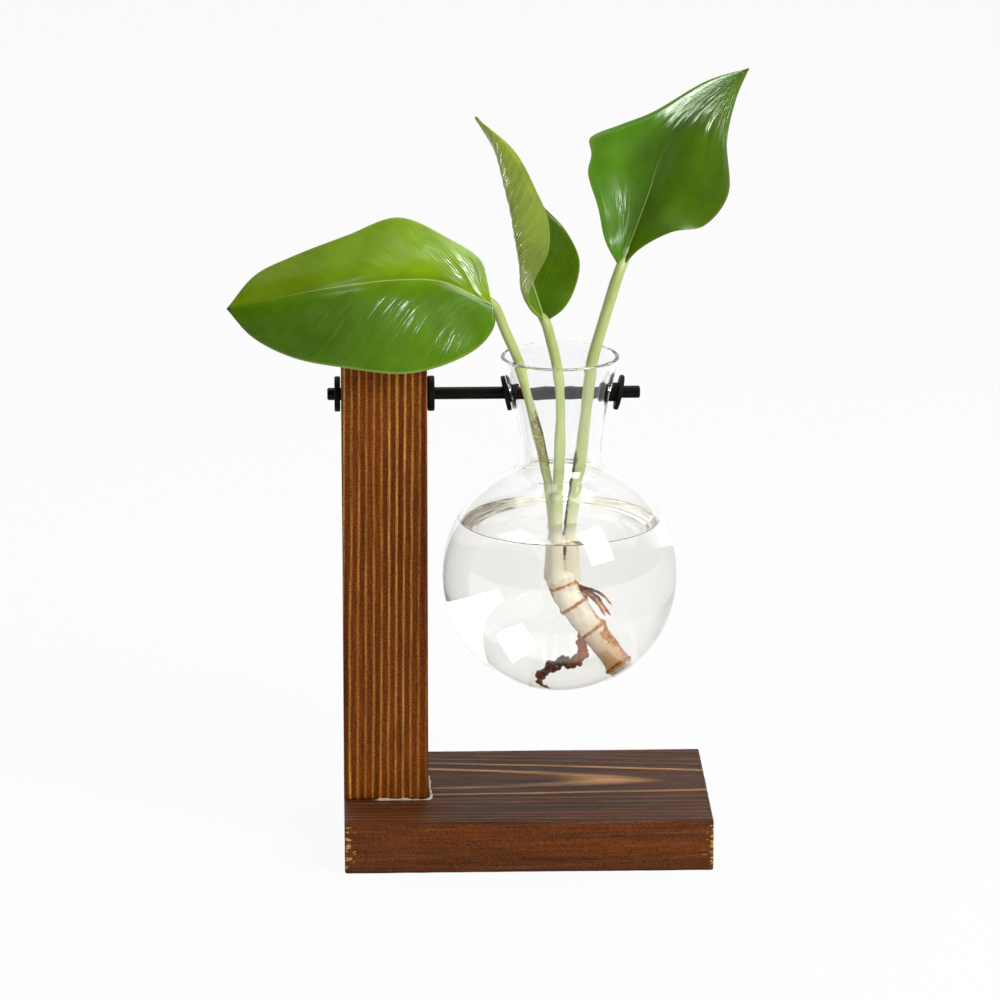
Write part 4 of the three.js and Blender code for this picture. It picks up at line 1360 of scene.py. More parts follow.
BLADES = {
    Place.LEFT: BladePlan(
        tip=(-88.5, -8, 1),
        rails=(
            (
                (-1.5, 2, 7.5), (-3.5, 4.5, 14), (-15, 5, 22), (-31, 6.5, 28.5),
                (-48.5, 4, 23), (-67.5, 0, 16.5), (-79, -4, 11.5),
            ),
            ((-16.5, -1, 8), (-30, -3.5, 9.5), (-46.5, -6, 8.5), (-66.5, -7.5, 5.5)),
            (
                (1, -2.5, -6), (-3.5, -5, -12.5), (-13.5, -9, -17.5), (-28.5, -12.5, -20.5),
                (-49.5, -14, -18), (-67, -13, -14.5), (-80, -11, -8),
            ),
        ),
        halves=(-1, 0, 1),
        # The broad blade's upper half is painted a brighter green and its lower half a darker one: painted
        # light where the upper half faces up, and painted shade where the lower half faces down
        finish=LeafFinish(
            "waxy_leaf_broad", "#7c9e12", "#567f10", "#8ea550", tip_shade=0.6, pleat_depth=0.75, rib_wear=0.9
        ),
        pleats=(
            PleatedZone(0.14, -0.5, 0.06, 0.3),
            PleatedZone(0.24, -0.56, 0.05, 0.15),
            PleatedZone(0.38, 0.43, 0.09, 0.22),
            PleatedZone(0.24, 0.78, 0.06, 0.14),
        ),
        fold=Fold(start=0.02, end=0.285, rise=0.6, width=0.028),
    ),
    Place.MIDDLE: BladePlan(
        tip=(-23.5, 4, 69.5),
        rails=(
            ((6, 0, 4.5), (10, 3, 11), (11.5, 5, 20), (6.5, 7, 30.5), (-1, 8, 38.5), (-12.5, 6, 55)),
            ((-2.5, 3, 7), (-5, 5, 15), (-7, 6, 27), (-10.5, 6, 42.5), (-15.5, 5, 56)),
            (
                (-5, -2, 5), (-8, -0.5, 11), (-8.5, -1, 20),
                (-10.5, -2, 31.5), (-12.5, -2, 43.5), (-18, 1, 63.5),
            ),
            ((-6, -4, 9), (-3.5, -6, 17), (0.5, -8, 26), (0.5, -8, 36.5), (-3.5, -7, 46.5), (-10.5, -3, 59)),
        ),
        halves=(1, 0, -0.45, -1),
        finish=LeafFinish("waxy_leaf_rolled", "#5d8218", "#4a6a00", "#97ad40"),
        pleats=(PleatedZone(0.45, -0.45, 0.5, 1.0),),
    ),
    Place.RIGHT: BladePlan(
        tip=(43.5, 13, 65.5),
        rails=(
            (
                (-5, 0, 9.5), (-7.5, -0.5, 21), (-10.9, 0, 33), (-9.7, 1.8, 38.8), (-10.4, 3.3, 43.4),
                (-8.8, 3.9, 44.9), (0.5, 6.3, 48), (11, 9, 51.5), (29.5, 12, 61.5),
            ),
            ((4.5, 3, 11), (10, 4.5, 26), (13.5, 6, 36.5), (23.5, 8.5, 51)),
            (
                (6.5, -1, 7), (17, -4.5, 13.5), (27.5, -6.5, 16),
                (35.5, -5, 26), (35.5, 1.5, 43.5), (39, 8, 56.5),
            ),
        ),
        halves=(-1, 0, 1),
        # The upright blade is painted darker towards its rib, as shade in its folded valley
        finish=LeafFinish(
            "waxy_leaf_upright", "#4e7c14", "#4f7206", "#8ea550", rib="#93b04a", rim="#8c8248",
            rib_valley_shade=0.55, pleats=Pleats.ALONG_RIB, pleat_depth=1.2, rib_end=0.55,
        ),
        pleats=(
            PleatedZone(0.82, 0.0, 0.2, 0.4),
            PleatedZone(0.8, 0.6, 0.18, 0.36),
            PleatedZone(0.22, -0.4, 0.06, 0.16),
        ),
    ),
}


@dataclass
class RootedCutting:
    """The cutting: three stalks with their blades on a jointed root stock, and its roots."""

    flask: HangingFlask
    knobs: KnobScatter
    water_level: float = 18.3
    crown_below_water: float = 16.0
    crown_forward: float = 3.1
    crown_radius: float = 4.4
    crown_scar: float = 0.13
    stock_radius: float = 3.3
    stock_end_gap: float = 2.0
    stock_drop: float = 8.0
    stock_run: float = 14.0
    stock_aim: Point = (0.54, -0.16, -0.83)
    stock_slope: Point = (0.5, 0.0, -0.86)
    stock_rows: int = 161
    stock_sides: int = 40
    stock_dome: float = 0.07
    stock_cut: float = 0.94
    joints: tuple[float, ...] = (0.3, 0.54, 0.9)
    joint_rise: float = 0.45
    joint_spread: float = 0.035
    scar_rise: float = 0.3
    scar_spread: float = 0.016
    stalk_to_rod: float = 2.4
    stalk_lean: float = 1.4
    stalk_to_glass: float = 0.4
    stalk_rooting: float = 3.5
    stalk_rows: int = 190
    stalk_sides: int = 24
    stalk_flare: tuple[float, float] = (0.4, 5.0)
    tail_rows: tuple[int, ...] = (4, 8, 12)
    tail_sink: tuple[float, ...] = (1.5, 0.9, 0.5)
    husk_rise: float = 0.2
    seat: float = 0.3
    blade_thickness: float = 0.8
    blade_rows: int = 110
    blade_columns: int = 22
    blade_wave: float = 0.35
    blade_crease: float = 70
    side_veins: int = 15
    first_vein: int = 40
    quilting: tuple[float, float] = (0.012, 0.1)
    root_rows: int = 120
    root_sides: int = 18
    root_radii: tuple[float, float] = (1.25, 0.55)
    root_lumps: float = 0.4
    root_knobs: tuple[float, float] = (0.45, 1.0)
    knobs_per_area: float = 0.6
    long_root_foot: float = 0.5
    long_root: tuple[Point, ...] = (
        (0.15, -0.13, -0.5), (0.12, -0.13, -0.57), (0.03, -0.13, -0.58),
        (-0.06, -0.13, -0.62), (-0.14, -0.13, -0.69), (-0.13, -0.13, -0.77), (-0.07, -0.13, -0.81),
    )
    tuft_foot: float = 0.18
    tuft_radii: tuple[float, float] = (0.55, 0.3)
    tuft_lumps: float = 0.2
    tuft: tuple[tuple[Point, ...], ...] = (
        ((0.27, -0.13, -0.1), (0.36, -0.13, -0.19)),
        ((0.24, -0.17, -0.14), (0.31, -0.18, -0.25)),
        ((0.23, -0.08, -0.12), (0.34, -0.07, -0.27)),
    )
    stem_finish: StemFinish = StemFinish(
        "leaf_stalk", "#fff5dc", "#c4d085", "#a8ba62", "#dbe3b4",
        mark="#96802a", scar="#1e1206", turning=(0.1, 0.27),
    )
    stock_finish: StemFinish = StemFinish(
        "root_stock", "#fbf3de", "#fff6e2", "#e6a650", "#e8c080",
        rough=0.4, lanes=18.0, mark="#cc8430", scar="#8a4208",
    )
    root_finish: StemFinish = StemFinish(
        "wet_root", "#b8641c", "#3a1400", "#6a2c04", "#a8500c",
        rough=0.35, lanes=14.0, mark="#1e0800", scar="#0a0200", turning=(0.2, 0.42),
    )
    young_finish: StemFinish = StemFinish(
        "young_root", "#5c2800", "#9a5010", "#dc8a34", "#401a00",
        rough=0.4, lanes=8.0, mark="#3c1600", scar="#200a00",
    )

    @property
    def crown_height(self) -> float:
        """Height of the crown above the bulb's centre."""
        return self.water_level - self.crown_below_water

    def in_bore(self, height: float, share: float, forward: float, radius: float) -> np.ndarray:
        """Stand a stalk in the bore.

        Args:
            height: above the bulb's centre.
            share: lean to a side, as a share of the free half-width.
            forward: distance in front of the flask's middle.
            radius: the stalk's radius.

        Returns:
            The point, counted from the bulb's centre.
        """
        free = self.flask.neck_at(height) - self.flask.wall - radius - self.stalk_to_glass
        return np.array((share * math.sqrt(free**2 - forward**2), -forward, height))

    def stalk_path(self, plan: StalkPlan) -> np.ndarray:
        """Run one stalk from the crown to its blade, counted from the bulb's centre."""
        flask, radius = self.flask, max(plan.radii)
        forward = ROD_RADIUS + self.stalk_to_rod + radius
        rim = self.in_bore(flask.rim_height, plan.shares[2], forward + self.stalk_lean, radius)
        knots = [
            (plan.crown[0], plan.crown[1] - self.crown_forward, self.crown_height + self.seat),
            (plan.water[0], plan.water[1] - self.crown_forward, self.water_level),
            self.in_bore(flask.neck_foot, plan.shares[0], plan.neck_forward, radius),
            self.in_bore(flask.hole_height, plan.shares[1], forward, radius),
            rim,
            rim + plan.end,
        ]
        return spline(knots, per_span=60)

    def blade_base(self, side: Place) -> np.ndarray:
        """Find where a blade starts, counted from the bulb's centre."""
        plan = STALKS[side]
        path = self.stalk_path(plan)
        if side is Place.LEFT:
            return path[-1] - (0, plan.radii[1] + self.seat, 0)
        return path[-1] + self.seat * unit(path[-1] - path[-2])

    def blade_sheet(self, side: Place) -> tuple[np.ndarray, np.ndarray, np.ndarray]:
        """Lay the middle surface of a blade over its rails.

        Args:
            side: which blade.

        Returns:
            Rows of points counted from the bulb's centre, the ways that its upper face looks there, and each
            column's place from one edge (-1) through the rib (0) to the other edge (1).
        """
        plan, base = BLADES[side], self.blade_base(side)
        rails = []
        for rail in plan.rails:
            knots = [base, *(base + point for point in rail), base + plan.tip]
            rails.append(evenly(spline(knots, per_span=60), self.blade_rows + 1))
        whole = np.array([spline(cross, self.blade_columns) for cross in zip(*rails)])
        looks = unit(np.cross(np.gradient(whole, axis=0)[1:-1], np.gradient(whole, axis=1)[1:-1]))
        if looks[:, : looks.shape[1] // 3].mean(axis=(0, 1)) @ np.asarray(plan.facing) < 0:
            looks = -looks
        columns = whole.shape[1]
        half = np.interp(np.linspace(0, 1, columns), np.linspace(0, 1, len(plan.halves)), plan.halves)
        return whole[1:-1], looks, half

    def make_stalk(self, side: Place) -> bpy.types.Object:
        """Make one stalk, rooted in the crown and running on under its blade's rib."""
        plan = STALKS[side]
        route = self.stalk_path(plan)
        sheet, looks, half = self.blade_sheet(side)
        rib = int(np.argmin(np.abs(half)))
        rows = np.array(self.tail_rows)
        tail = sheet[rows, rib] - looks[rows, rib] * np.array(self.tail_sink)[:, None]
        foot = route[0] - (0, 0, self.stalk_rooting)
        path = evenly(spline([foot, *route[::30], *tail], per_span=30), self.stalk_rows)
        lengths = lengths_along(path)
        run_on = lengths_along(np.vstack([route[-1:], tail]))[-1]
        share = ramp(lengths / (lengths[-1] - run_on))
        taper = ramp((lengths[-1] - lengths) / run_on)
        flare, flare_height = self.stalk_flare
        radii = plan.radii[0] + (plan.radii[1] - plan.radii[0]) * share
        radii = radii * (1 + 0.04 * smooth_noise(path, cell=6, seed=51)) + flare * bell(lengths, flare_height)
        radii *= 0.14 + 0.86 * np.sin(taper * QUARTER_TURN) ** 0.8
        shell, outward = Shell.tube(path, radii, self.stalk_sides)
        mark = self.husk_cover(plan.husk, shell.points, outward)
        shell.points += outward * (self.husk_rise * np.minimum(mark, 1))[:, None]
        return self.make_stem(f"stalk_{side.value}", shell, self.stem_finish, {"mark": mark})

    def make_stem(
        self, name: str, shell: Shell, finish: StemFinish, fields: dict[str, np.ndarray], crease: float = 45
    ) -> bpy.types.Object:
        """Make the object of a stem, stock or root.

        Args:
            name: the piece's name.
            shell: its skin, counted from the bulb's centre.
            finish: its skin's finish.
            fields: its marks, and what else the finish and the knobs read.
            crease: edges sharper than this many degrees stay sharp.

        Returns:
            The object.
        """
        fields = {"along": shell.along, "around": shell.around, **fields}
        points = shell.points + self.flask.centre
        return make_object(name, points, shell.faces, finish.material(), fields, crease)

    def husk_cover(self, husk: Husk | None, points: np.ndarray, outward: np.ndarray) -> np.ndarray:
        """Say where a dried brown sheath still clings to a stalk.

        Args:
            husk: the sheath, if the stalk has one.
            points: on the stalk's skin, counted from the bulb's centre.
            outward: the way out of the stalk at each point.

        Returns:
            0 where the stalk is bare, up to 1.3 on the sheath's seam.
        """
        if husk is None:
            return np.zeros(len(points))
        height = points[:, 2]
        window = ramp((height - husk.low) / 3) * ramp((husk.high - height) / 6)
        ragged = 0.35 * smooth_noise(points * (1, 1, 0.3), cell=1.4, seed=55)
        cover = ramp((outward @ unit(husk.side) - husk.edge + ragged) * 4)
        seam = ramp((outward @ unit(husk.seam) - 0.86 + 0.3 * ragged) * 12)
        return window * np.maximum(0.7 * cover, 1.3 * seam)

    @staticmethod
    def on_both_faces(over: np.ndarray, beneath: np.ndarray, ends: tuple[float, float]) -> np.ndarray:
        """Lay a value out over both faces of a blade and its two ends.

        Args:
            over: the value on the upper face.
            beneath: the value on the lower face.
            ends: the value at the base and at the tip.

        Returns:
            One value per point of the blade's shell.
        """
        both = np.concatenate([over, beneath[:, ::-1]], axis=1)
        return np.concatenate([both.ravel(), ends])

    def make_blade(self, side: Place) -> bpy.types.Object:
        """Draw one blade over its rails, with sunk ribs and veins above and a raised rib below."""
        plan, base = BLADES[side], self.blade_base(side)
        sheet, looks, half = self.blade_sheet(side)
        middle = int(np.argmin(np.abs(half)))
        gaps = np.linalg.norm(np.diff(sheet, axis=1), axis=2)
        run = np.concatenate([np.zeros((len(sheet), 1)), np.cumsum(gaps, axis=1)], axis=1)
        rib = np.abs(run - run[:, middle : middle + 1])
        half = np.broadcast_to(half, rib.shape)
        apart = np.abs(half)
        reach = np.broadcast_to(np.linspace(0, 1, self.blade_rows + 1)[1:-1, None], rib.shape)
        wander = smooth_noise(sheet.reshape(-1, 3), cell=14, seed=61).reshape(rib.shape)
        # Side veins slant forward from the rib, less so towards the tip
        slant = 0.55 * apart**0.85 * (1.05 - 0.75 * reach)
        vein = self.side_veins * (reach - slant) + 0.25 * wander + self.first_vein + 0.5 * np.sign(half)
        quilt = np.cos(FULL_TURN * vein) * ramp(rib / 3) * ramp((1 - apart) * 5)
        zones = [
            bell(np.hypot((reach - zone.reach) / zone.length, (half - zone.half) / zone.width), width=1.0)
            for zone in plan.pleats
        ]
        pleat = np.max(zones, axis=0)
        hem = np.clip((1 - apart) * 9, 0.12, 1)
        flat, pleated = self.quilting
        swell = (flat + pleated * pleat * plan.finish.pleats.across) * quilt + self.blade_wave * wander * hem
        if plan.fold:
            fold = plan.fold
            crest = bell(reach - fold.start - (fold.end - fold.start) * apart, fold.width)
            swell += fold.rise * crest * ramp(-4 * half) * ramp((0.82 - apart) * 4)
        thick = hem * self.blade_thickness / 2
        groove = 0.34 * (1 - reach) * bell(rib, width=0.9)
        ridge = (0.75 - 0.6 * reach) * bell(rib, width=0.8)
        top = sheet + looks * (thick - groove + swell)[..., None]
        under = sheet + looks * (-thick - ridge + swell)[..., None]
        shell = Shell.over(np.concatenate([top, under[:, ::-1]], axis=1), base, base + plan.tip)
        veins = (self.first_vein, self.first_vein + self.side_veins)
        layout = {"half": (half, (0, 0)), "reach": (reach, (0, 1)), "vein": (vein, veins)}
        layout |= {"rib": (rib, (0, 0)), "pleat": (pleat, (0, 0))}
        fields = {key: self.on_both_faces(values, values, ends) for key, (values, ends) in layout.items()}
        fields["below"] = self.on_both_faces(np.zeros(rib.shape), np.ones(rib.shape), (0, 0))
        points, material = shell.points + self.flask.centre, plan.finish.material()
        return make_object(f"blade_{side.value}", points, shell.faces, material, fields, self.blade_crease)

    def stock_path(self) -> np.ndarray:
        """Run the root stock from the crown to its cut end, counted from the bulb's centre."""
        aim, slope = unit(self.stock_aim), unit(self.stock_slope)
        start = np.array((0, -self.crown_forward, self.crown_height))
        end = aim * (self.flask.inner_radius - self.stock_end_gap - self.stock_radius - self.joint_rise)
        dropped, approach = start - (0, 0, self.stock_drop), end - slope * self.stock_run
        t = np.linspace(0, 1, 400)[:, None]
        weights = ((1 - t) ** 3, 3 * (1 - t) ** 2 * t, 3 * (1 - t) * t**2, t**3)
        path = sum(weight * knot for weight, knot in zip(weights, (start, dropped, approach, end)))
        return evenly(path, self.stock_rows)

    def at_joints(self, share: np.ndarray, spread: float) -> np.ndarray:
        """Give a bump of height 1 at each of the stock's joints."""
        return np.max([bell(share - joint, spread) for joint in self.joints], axis=0)

    def stock_radii(self, share: np.ndarray) -> np.ndarray:
        """Narrow the stock from the crown and swell it at its joints."""
        crown = (self.crown_radius - self.stock_radius) * (1 - share) ** 4
        return self.stock_radius + crown + self.joint_rise * self.at_joints(share, self.joint_spread)

    def make_stock(self) -> bpy.types.Object:
        """Make the jointed root stock, with brown scars at its joints and a pale cut end."""
        path = self.stock_path()
        share = np.linspace(0, 1, len(path))
        dome = np.sqrt(1 - np.clip(1 - share / self.stock_dome, 0, 0.99) ** 2)
        shell, outward = Shell.tube(path, self.stock_radii(share) * dome, self.stock_sides)
        along = shell.along
        lumps = 0.22 * smooth_noise(shell.points, cell=3.2, seed=71)
        lumps += 0.08 * smooth_noise(shell.points, cell=1.1, seed=72)
        scar = self.at_joints(along, self.scar_spread)
        shell.points += outward * (lumps + self.scar_rise * scar)[:, None]
        ripple = smooth_noise(shell.points, cell=2.4, seed=73)
        # The last length is stained on its upper side and a ring is left at the crown, and both flanks, as
        # seen from the front, are darkened in the same brown as painted shade
        lower = ramp((along - 0.55) / 0.05) * ramp((0.93 - along) / 0.02)
        stain = lower * ramp(outward @ unit((0.8, -0.1, 0.5)) + 0.55 * ripple)
        collar = bell(along - self.crown_scar - 0.012 * ripple, width=0.02)
        flank_shade = np.abs(outward @ unit(np.cross(self.stock_slope, (0, 1, 0))))
        flank_shade = ramp(5 * (flank_shade - 0.8) + 0.45 * ripple)
        mark = ramp(1.15 * scar + 0.85 * stain + 0.75 * collar + 0.8 * flank_shade)
        cut = along > self.stock_cut
        shell.along = np.where(cut, self.joints[0], along)
        return self.make_stem("root_stock", shell, self.stock_finish, {"mark": np.where(cut, 0, mark)})

    def root_foot(self, share: float, side: int) -> np.ndarray:
        """Find where a root leaves the stock.

        Args:
            share: place along the stock.
            side: -1 on its left, 1 on its right.

        Returns:
            A point just inside the stock's skin, counted from the bulb's centre.
        """
        path = self.stock_path()
        spot = round(share * (len(path) - 1))
        outward = unit(np.cross(path[spot + 1] - path[spot - 1], (0, side, 0)))
        return path[spot] + outward * (self.stock_radii(np.array([share]))[0] - 0.8)

    def make_root(
        self,
        name: str,
        foot: np.ndarray,
        course: Sequence[Point],
        radii: tuple[float, float],
        rough: float,
        finish: StemFinish,
    ) -> bpy.types.Object:
        """Make one root.

        Args:
            name: the piece's name.
            foot: where it leaves the stock, counted from the bulb's centre.
            course: the points that it goes through, as shares of the bulb's inner radius.
            radii: at the foot and at the tip.
            rough: how lumpy its skin is.
            finish: its skin's finish.

        Returns:
            The object.
        """
        knots = [foot, *(np.array(point) * self.flask.inner_radius for point in course)]
        path = evenly(spline(knots, per_span=30), self.root_rows)
        share = np.linspace(0, 1, len(path))
        thick = (radii[0] + (radii[1] - radii[0]) * share) * np.clip((1 - share) * 14, 0.25, 1)
        shell, outward = Shell.tube(path, thick, self.root_sides)
        lumps = smooth_noise(shell.points, cell=1.3, seed=81)
        lumps += 0.6 * smooth_noise(shell.points, cell=0.6, seed=82)
        shell.points += outward * (rough * lumps)[:, None]
        dark = bell(shell.along - 0.5, width=0.24)
        mark = (0.35 + 0.5 * smooth_noise(shell.points, cell=1.6, seed=83)) * (0.3 + 0.9 * dark)
        return self.make_stem(name, shell, finish, {"mark": mark, "knobs": 0.15 + dark}, crease=70)

    def build(self) -> None:
        """Make the cutting's pieces and let them swing with the flask."""
        for side in Place:
            settle(self.make_stalk(side), "flask", "stalk", f"petiole_{side.value}")
            settle(self.make_blade(side), "flask", "leaf", f"leaf_{side.value}")
        settle(self.make_stock(), "flask", "root_stock", "rhizome")
        foot = self.root_foot(self.long_root_foot, -1)
        root = self.make_root(
            "dark_root", foot, self.long_root, self.root_radii, self.root_lumps, self.root_finish
        )
        self.knobs.sow(root, self.knobs_per_area, self.root_knobs, seed=5)
        settle(root, "flask", "root", "root_long")
        foot = self.root_foot(self.tuft_foot, 1)
        for number, strand in enumerate(self.tuft, 1):
            name = f"young_root_{number}"
            piece = self.make_root(name, foot, strand, self.tuft_radii, self.tuft_lumps, self.young_finish)
            settle(piece, "flask", "root", *(["root_tuft"] if number == 1 else []))


@dataclass
class WaterFill:
    """The water in the bulb, drawn up a little where it meets the glass and the stalks."""

    flask: HangingFlask
    cutting: RootedCutting
    into_glass: float = 0.35
    climb: float = 1.3
    climb_width: float = 1.5
    stalk_climb: tuple[float, float] = (0.7, 0.9)
    rim_steps: tuple[float, ...] = (0.15, 0.35, 0.6, 0.9, 1.3)
    flat_from: float = 1.5
    sides: int = 144
    bowl_rows: int = 72
    flat_rows: int = 64
    crease: float = 80

    def build(self) -> None:
        """Fill the bulb and let the water swing level."""
        level = self.cutting.water_level
        radius = self.flask.inner_radius + self.into_glass
        angles = np.arange(self.sides) * FULL_TURN / self.sides
        spokes = np.stack([np.cos(angles), np.sin(angles)], axis=-1)
        bowl = np.linspace(-QUARTER_TURN, math.asin((level + self.climb) / radius), self.bowl_rows)[1:]
        rings = [
            np.c_[spokes * radius * math.cos(a), np.full(self.sides, radius * math.sin(a))] for a in bowl
        ]
        stalks = []
        for plan in STALKS.values():
            path = self.cutting.stalk_path(plan)
            spot = path[np.argmin(np.abs(path[:, 2] - level))]
            stalks.append((spot[:2], plan.radii[0]))
        rim = radius * math.cos(bowl[-1])
        flat = rim * (1 - np.linspace(0, 1, self.flat_rows)[1:-1] ** 1.6)
        rise, fall = self.stalk_climb
        for reach in (*(rim - np.array(self.rim_steps)), *flat[flat < rim - self.flat_from]):
            spots = spokes * reach
            height = level + self.climb * math.exp(-(rim - reach) / self.climb_width * 1.6)
            heights = np.full(self.sides, height)
            for spot, thick in stalks:
                gap = np.maximum(np.linalg.norm(spots - spot, axis=1) - thick, 0)
                heights += rise * np.exp(-gap / fall)
            rings.append(np.c_[spots, heights])
        top = np.array((0, 0, rings[-1][:, 2].mean()))
        shell = Shell.over(np.array(rings), np.array((0, 0, -radius)), top)
        points, material = shell.points + self.flask.centre, WATER.material()
        water = make_object("still_water", points, shell.faces, material, crease=self.crease)
        settle(water, "water", "water", "water")


@dataclass(frozen=True)
class SoftBox:
    """One lamp: its place, target and size in metres, its watts, and a piece that doesn't mirror it."""

    name: str
    place: Point
    target: Point
    size: tuple[float, float]
    power: float
    unmirrored: str = ""


@dataclass(frozen=True)
class GlossStrip:
    """A strip light that only one waxy blade mirrors, and that lights nothing.

    Its bearing and height are in degrees, and its size, distance and target in metres.
    """

    piece: str
    bearing: float
    height: float
    size: tuple[float, float]
    glare: float
    distance: float = 1.5
    target: Point = (0.02, 0.0, 0.22)

    @property
    def place(self) -> Vector:
        """Where the strip hangs."""
        turn, rise = math.radians(self.bearing), math.radians(self.height)
        way = (math.sin(turn) * math.cos(rise), -math.cos(turn) * math.cos(rise), math.sin(rise))
        return Vector(self.target) + self.distance * Vector(way)

    @property
    def power(self) -> float:
        """Power that gives the strip its glare."""
        return self.glare * math.pi * self.size[0] * self.size[1]


@dataclass
class Studio:
    """A white sweep, soft boxes and the camera."""

    eye: Point = (-65.04, -1844.83, 624.93)
    target: Point = (-8.75, 0.0, 119.92)
    lens: float = 202.85
    sensor: float = 36.0
    nearest: float = 50.0
    floor_size: float = 12000.0
    floor_white: str = "#f4f3f1"
    floor_glow: float = 0.93
    boxes: tuple[SoftBox, ...] = (
        SoftBox(
            "key_box", place=(0.81, -0.8, 0.98), target=(0.0, 0.0, 0.15), size=(0.6, 0.85),
            power=15.5, unmirrored="blade_right",
        ),
        SoftBox("top_box", place=(0.1, 0.35, 1.35), target=(0.0, 0.0, 0.15), size=(0.9, 0.5), power=4.0),
    )
    strips: tuple[GlossStrip, ...] = (
        GlossStrip("blade_left", bearing=80, height=35, size=(0.45, 0.3), glare=560.0),
        GlossStrip("blade_left", bearing=4, height=34, size=(0.16, 0.12), glare=150.0),
        GlossStrip("blade_right", bearing=0, height=28, size=(0.42, 0.21), glare=80.0),
        GlossStrip("blade_right", bearing=-24, height=46, size=(0.16, 0.2), glare=70.0),
        GlossStrip("blade_right", bearing=44, height=-5, size=(0.06, 0.04), glare=50.0, distance=0.5),
        GlossStrip("blade_middle", bearing=-100, height=-3, size=(0.5, 0.3), glare=35.0, distance=1.0),
    )
    ambient: float = 0.3
    inside: float = 1.75
    bounces: int = 80

    @staticmethod
    def look_at(thing: bpy.types.Object, place: Vector, target: Vector) -> None:
        """Put a lamp or the camera in its place and turn it to its target, both in metres."""
        thing.location = place
        thing.rotation_euler = (target - thing.location).to_track_quat("-Z", "Y").to_euler()

    def make_camera(self) -> None:
        """Stand the camera where the photograph was taken from."""
        data = bpy.data.cameras.new("camera")
        data.lens, data.sensor_width, data.clip_start = self.lens, self.sensor, self.nearest * MM
        camera = add_to_scene("camera", data)
        self.look_at(camera, Vector(self.eye) * MM, Vector(self.target) * MM)
        bpy.context.scene.camera = camera

    def make_floor(self) -> None:
        """Lay the pale floor, which shows white and keeps a soft shadow."""
        half = self.floor_size * MM / 2
        corners = [(-half, -half, 0), (half, -half, 0), (half, half, 0), (-half, half, 0)]
        mesh = bpy.data.meshes.new("floor")
        mesh.from_pydata(corners, [], [(0, 1, 2, 3)])
        material = bpy.data.materials.new("white_sweep")
        add = fresh_nodes(material)
        ray = add("ShaderNodeLightPath")
        seen = ray["Is Camera Ray"]
        for kind in ("Is Glossy Ray", "Is Transmission Ray"):
            seen = add("ShaderNodeMath", {0: seen, 1: ray[kind]}, operation="MAXIMUM")[0]
        share = add("ShaderNodeMath", {0: seen, 1: self.floor_glow}, operation="MULTIPLY")[0]
        matt = add("ShaderNodeBsdfDiffuse", {"Color": linear(self.floor_white)})[0]
        glow = add("ShaderNodeEmission", {"Color": (1, 1, 1, 1), "Strength": 1.0})[0]
        mixed = add("ShaderNodeMixShader", {0: share, 1: matt, 2: glow})[0]
        add("ShaderNodeOutputMaterial", {"Surface": mixed})
        mesh.materials.append(material)
        add_to_scene("floor", mesh)

    def make_lights(self) -> None:
        """Hang the soft boxes, and the strips that draw the shine on the blades."""
        for box in self.boxes:
            lamp = self.hang(box.name, box)
            if box.unmirrored:
                self.aim(lamp, box.unmirrored, "EXCLUDE")
                double = self.hang(f"{box.name}_flagged", box)
                double.visible_glossy = False
                self.aim(double, box.unmirrored, "INCLUDE")
        for number, strip in enumerate(self.strips, 1):
            lamp = self.hang(f"strip_{number}", strip)
            lamp.visible_diffuse = lamp.visible_transmission = False
            self.aim(lamp, strip.piece, "INCLUDE")

    def aim(self, lamp: bpy.types.Object, piece: str, state: str) -> None:
        """Let a lamp light one piece alone, or all but that piece.

        Args:
            lamp: the lamp.
            piece: the piece's name.
            state: INCLUDE or EXCLUDE.
        """
        lit = bpy.data.collections.new(f"{lamp.name}_lights")
        lit.objects.link(bpy.data.objects[piece])
        lit.collection_objects[0].light_linking.link_state = state
        lamp.light_linking.receiver_collection = lit

    def hang(self, name: str, box: SoftBox | GlossStrip) -> bpy.types.Object:
        """Hang one lamp.

        Args:
            name: the lamp's name.
            box: its place, target, size and power.

        Returns:
            The lamp.
        """
        data = bpy.data.lights.new(name, "AREA")
        data.shape, data.energy = "RECTANGLE", box.power
        data.size, data.size_y = box.size
        lamp = add_to_scene(name, data)
        self.look_at(lamp, Vector(box.place), Vector(box.target))
        return lamp

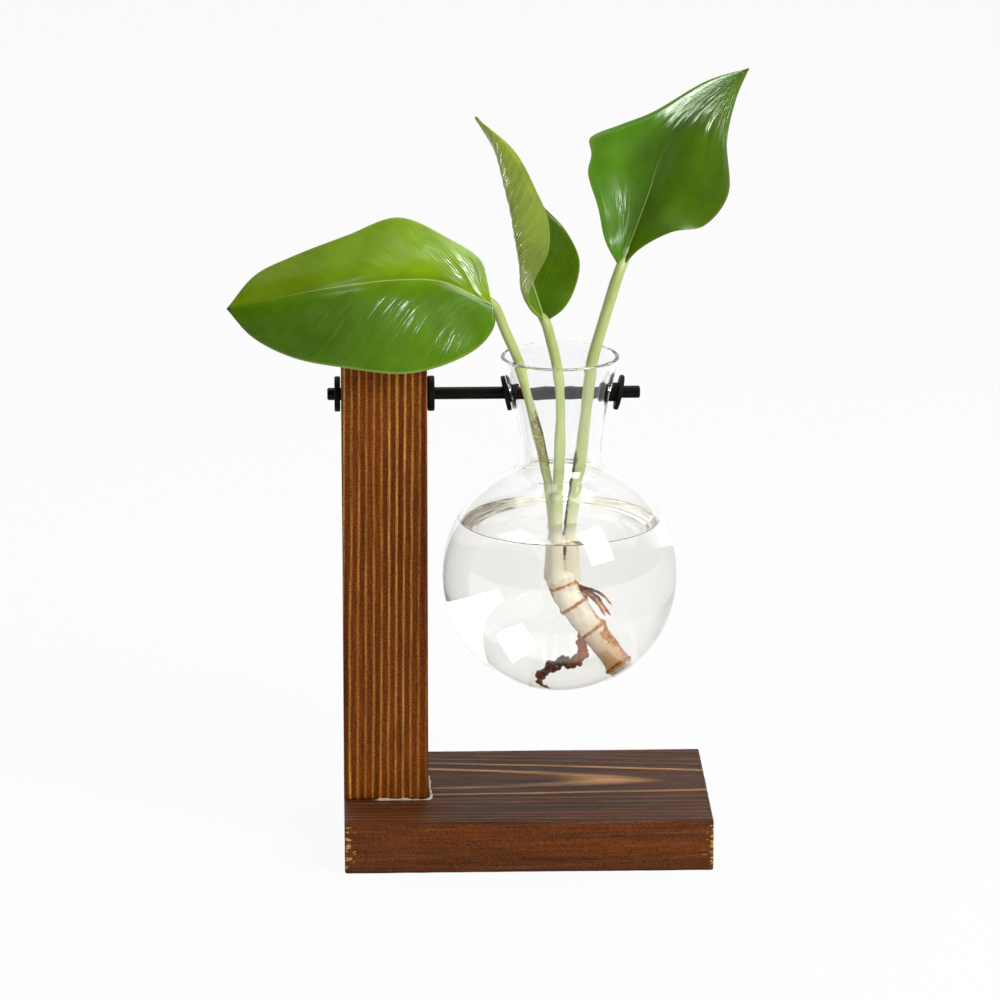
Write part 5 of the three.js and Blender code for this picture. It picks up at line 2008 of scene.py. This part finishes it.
    def make_world(self) -> None:
        """Set white behind the object, and grey at the sides for the glass to draw its edges from."""
        world = bpy.data.worlds.new("studio")
        bpy.context.scene.world = world
        add = fresh_nodes(world)
        ray = add("ShaderNodeLightPath")
        way = add("ShaderNodeTexCoord")["Generated"]
        x, y, z = add("ShaderNodeSeparateXYZ", {0: way})
        side = add("ShaderNodeMath", {0: x}, operation="ABSOLUTE")[0]
        flag = add("ShaderNodeMapRange", {0: side, 1: 0.5, 2: 0.95, 3: 1.0, 4: 0.5})[0]
        front = add("ShaderNodeMapRange", {0: y, 1: -0.3, 2: 0.3, 3: 0.25, 4: 1.0})[0]
        tone = add("ShaderNodeMath", {0: flag, 1: front}, operation="MULTIPLY")[0]
        ceiling = add("ShaderNodeMapRange", {0: z, 1: 0.35, 2: 0.75, 3: 0.0, 4: 1.0})[0]
        tone = add("ShaderNodeMath", {0: tone, 1: ceiling}, operation="MAXIMUM")[0]
        # Light that reaches a matt face is even, and stronger through the glass and water
        lit = add("ShaderNodeMath", {0: ray["Diffuse Depth"], 1: 0.5}, operation="GREATER_THAN")[0]
        soft = {0: ray["Is Transmission Ray"], 2: self.ambient, 3: self.inside}
        soft = add("ShaderNodeMix", soft, data_type="FLOAT")[0]
        level = add("ShaderNodeMix", {0: lit, 2: tone, 3: soft}, data_type="FLOAT")[0]
        level = add("ShaderNodeMix", {0: ray["Is Camera Ray"], 2: level, 3: 1.0}, data_type="FLOAT")[0]
        back = add("ShaderNodeBackground", {"Color": (1, 1, 1, 1), "Strength": level})[0]
        add("ShaderNodeOutputWorld", {"Surface": back})

    def build(self) -> None:
        """Set up the stage."""
        self.make_camera()
        self.make_floor()
        self.make_lights()
        self.make_world()
        scene = bpy.context.scene
        scene.view_settings.view_transform = "Standard"
        cycles = scene.cycles
        cycles.max_bounces = cycles.transmission_bounces = cycles.glossy_bounces = self.bounces


def main() -> None:
    """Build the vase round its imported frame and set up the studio."""
    logging.basicConfig(level=logging.INFO, format="%(message)s")
    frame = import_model()
    lathe = Turning()
    TimberStand(lathe).build()
    RodSet(lathe).build()
    flask = HangingFlask(lathe)
    flask.build()
    cutting = RootedCutting(flask, KnobScatter())
    cutting.build()
    WaterFill(flask, cutting).build()
    Studio().build()
    zinc = ZINC.material()
    for name in ("foot_screw_front", "foot_screw_back"):
        screw = frame["nodes"][name].data
        screw.materials.clear()
        screw.materials.append(zinc)
        LOG.info("%s keeps its solid and gets %s", name, zinc.name)


if __name__ == "__main__":
    main()
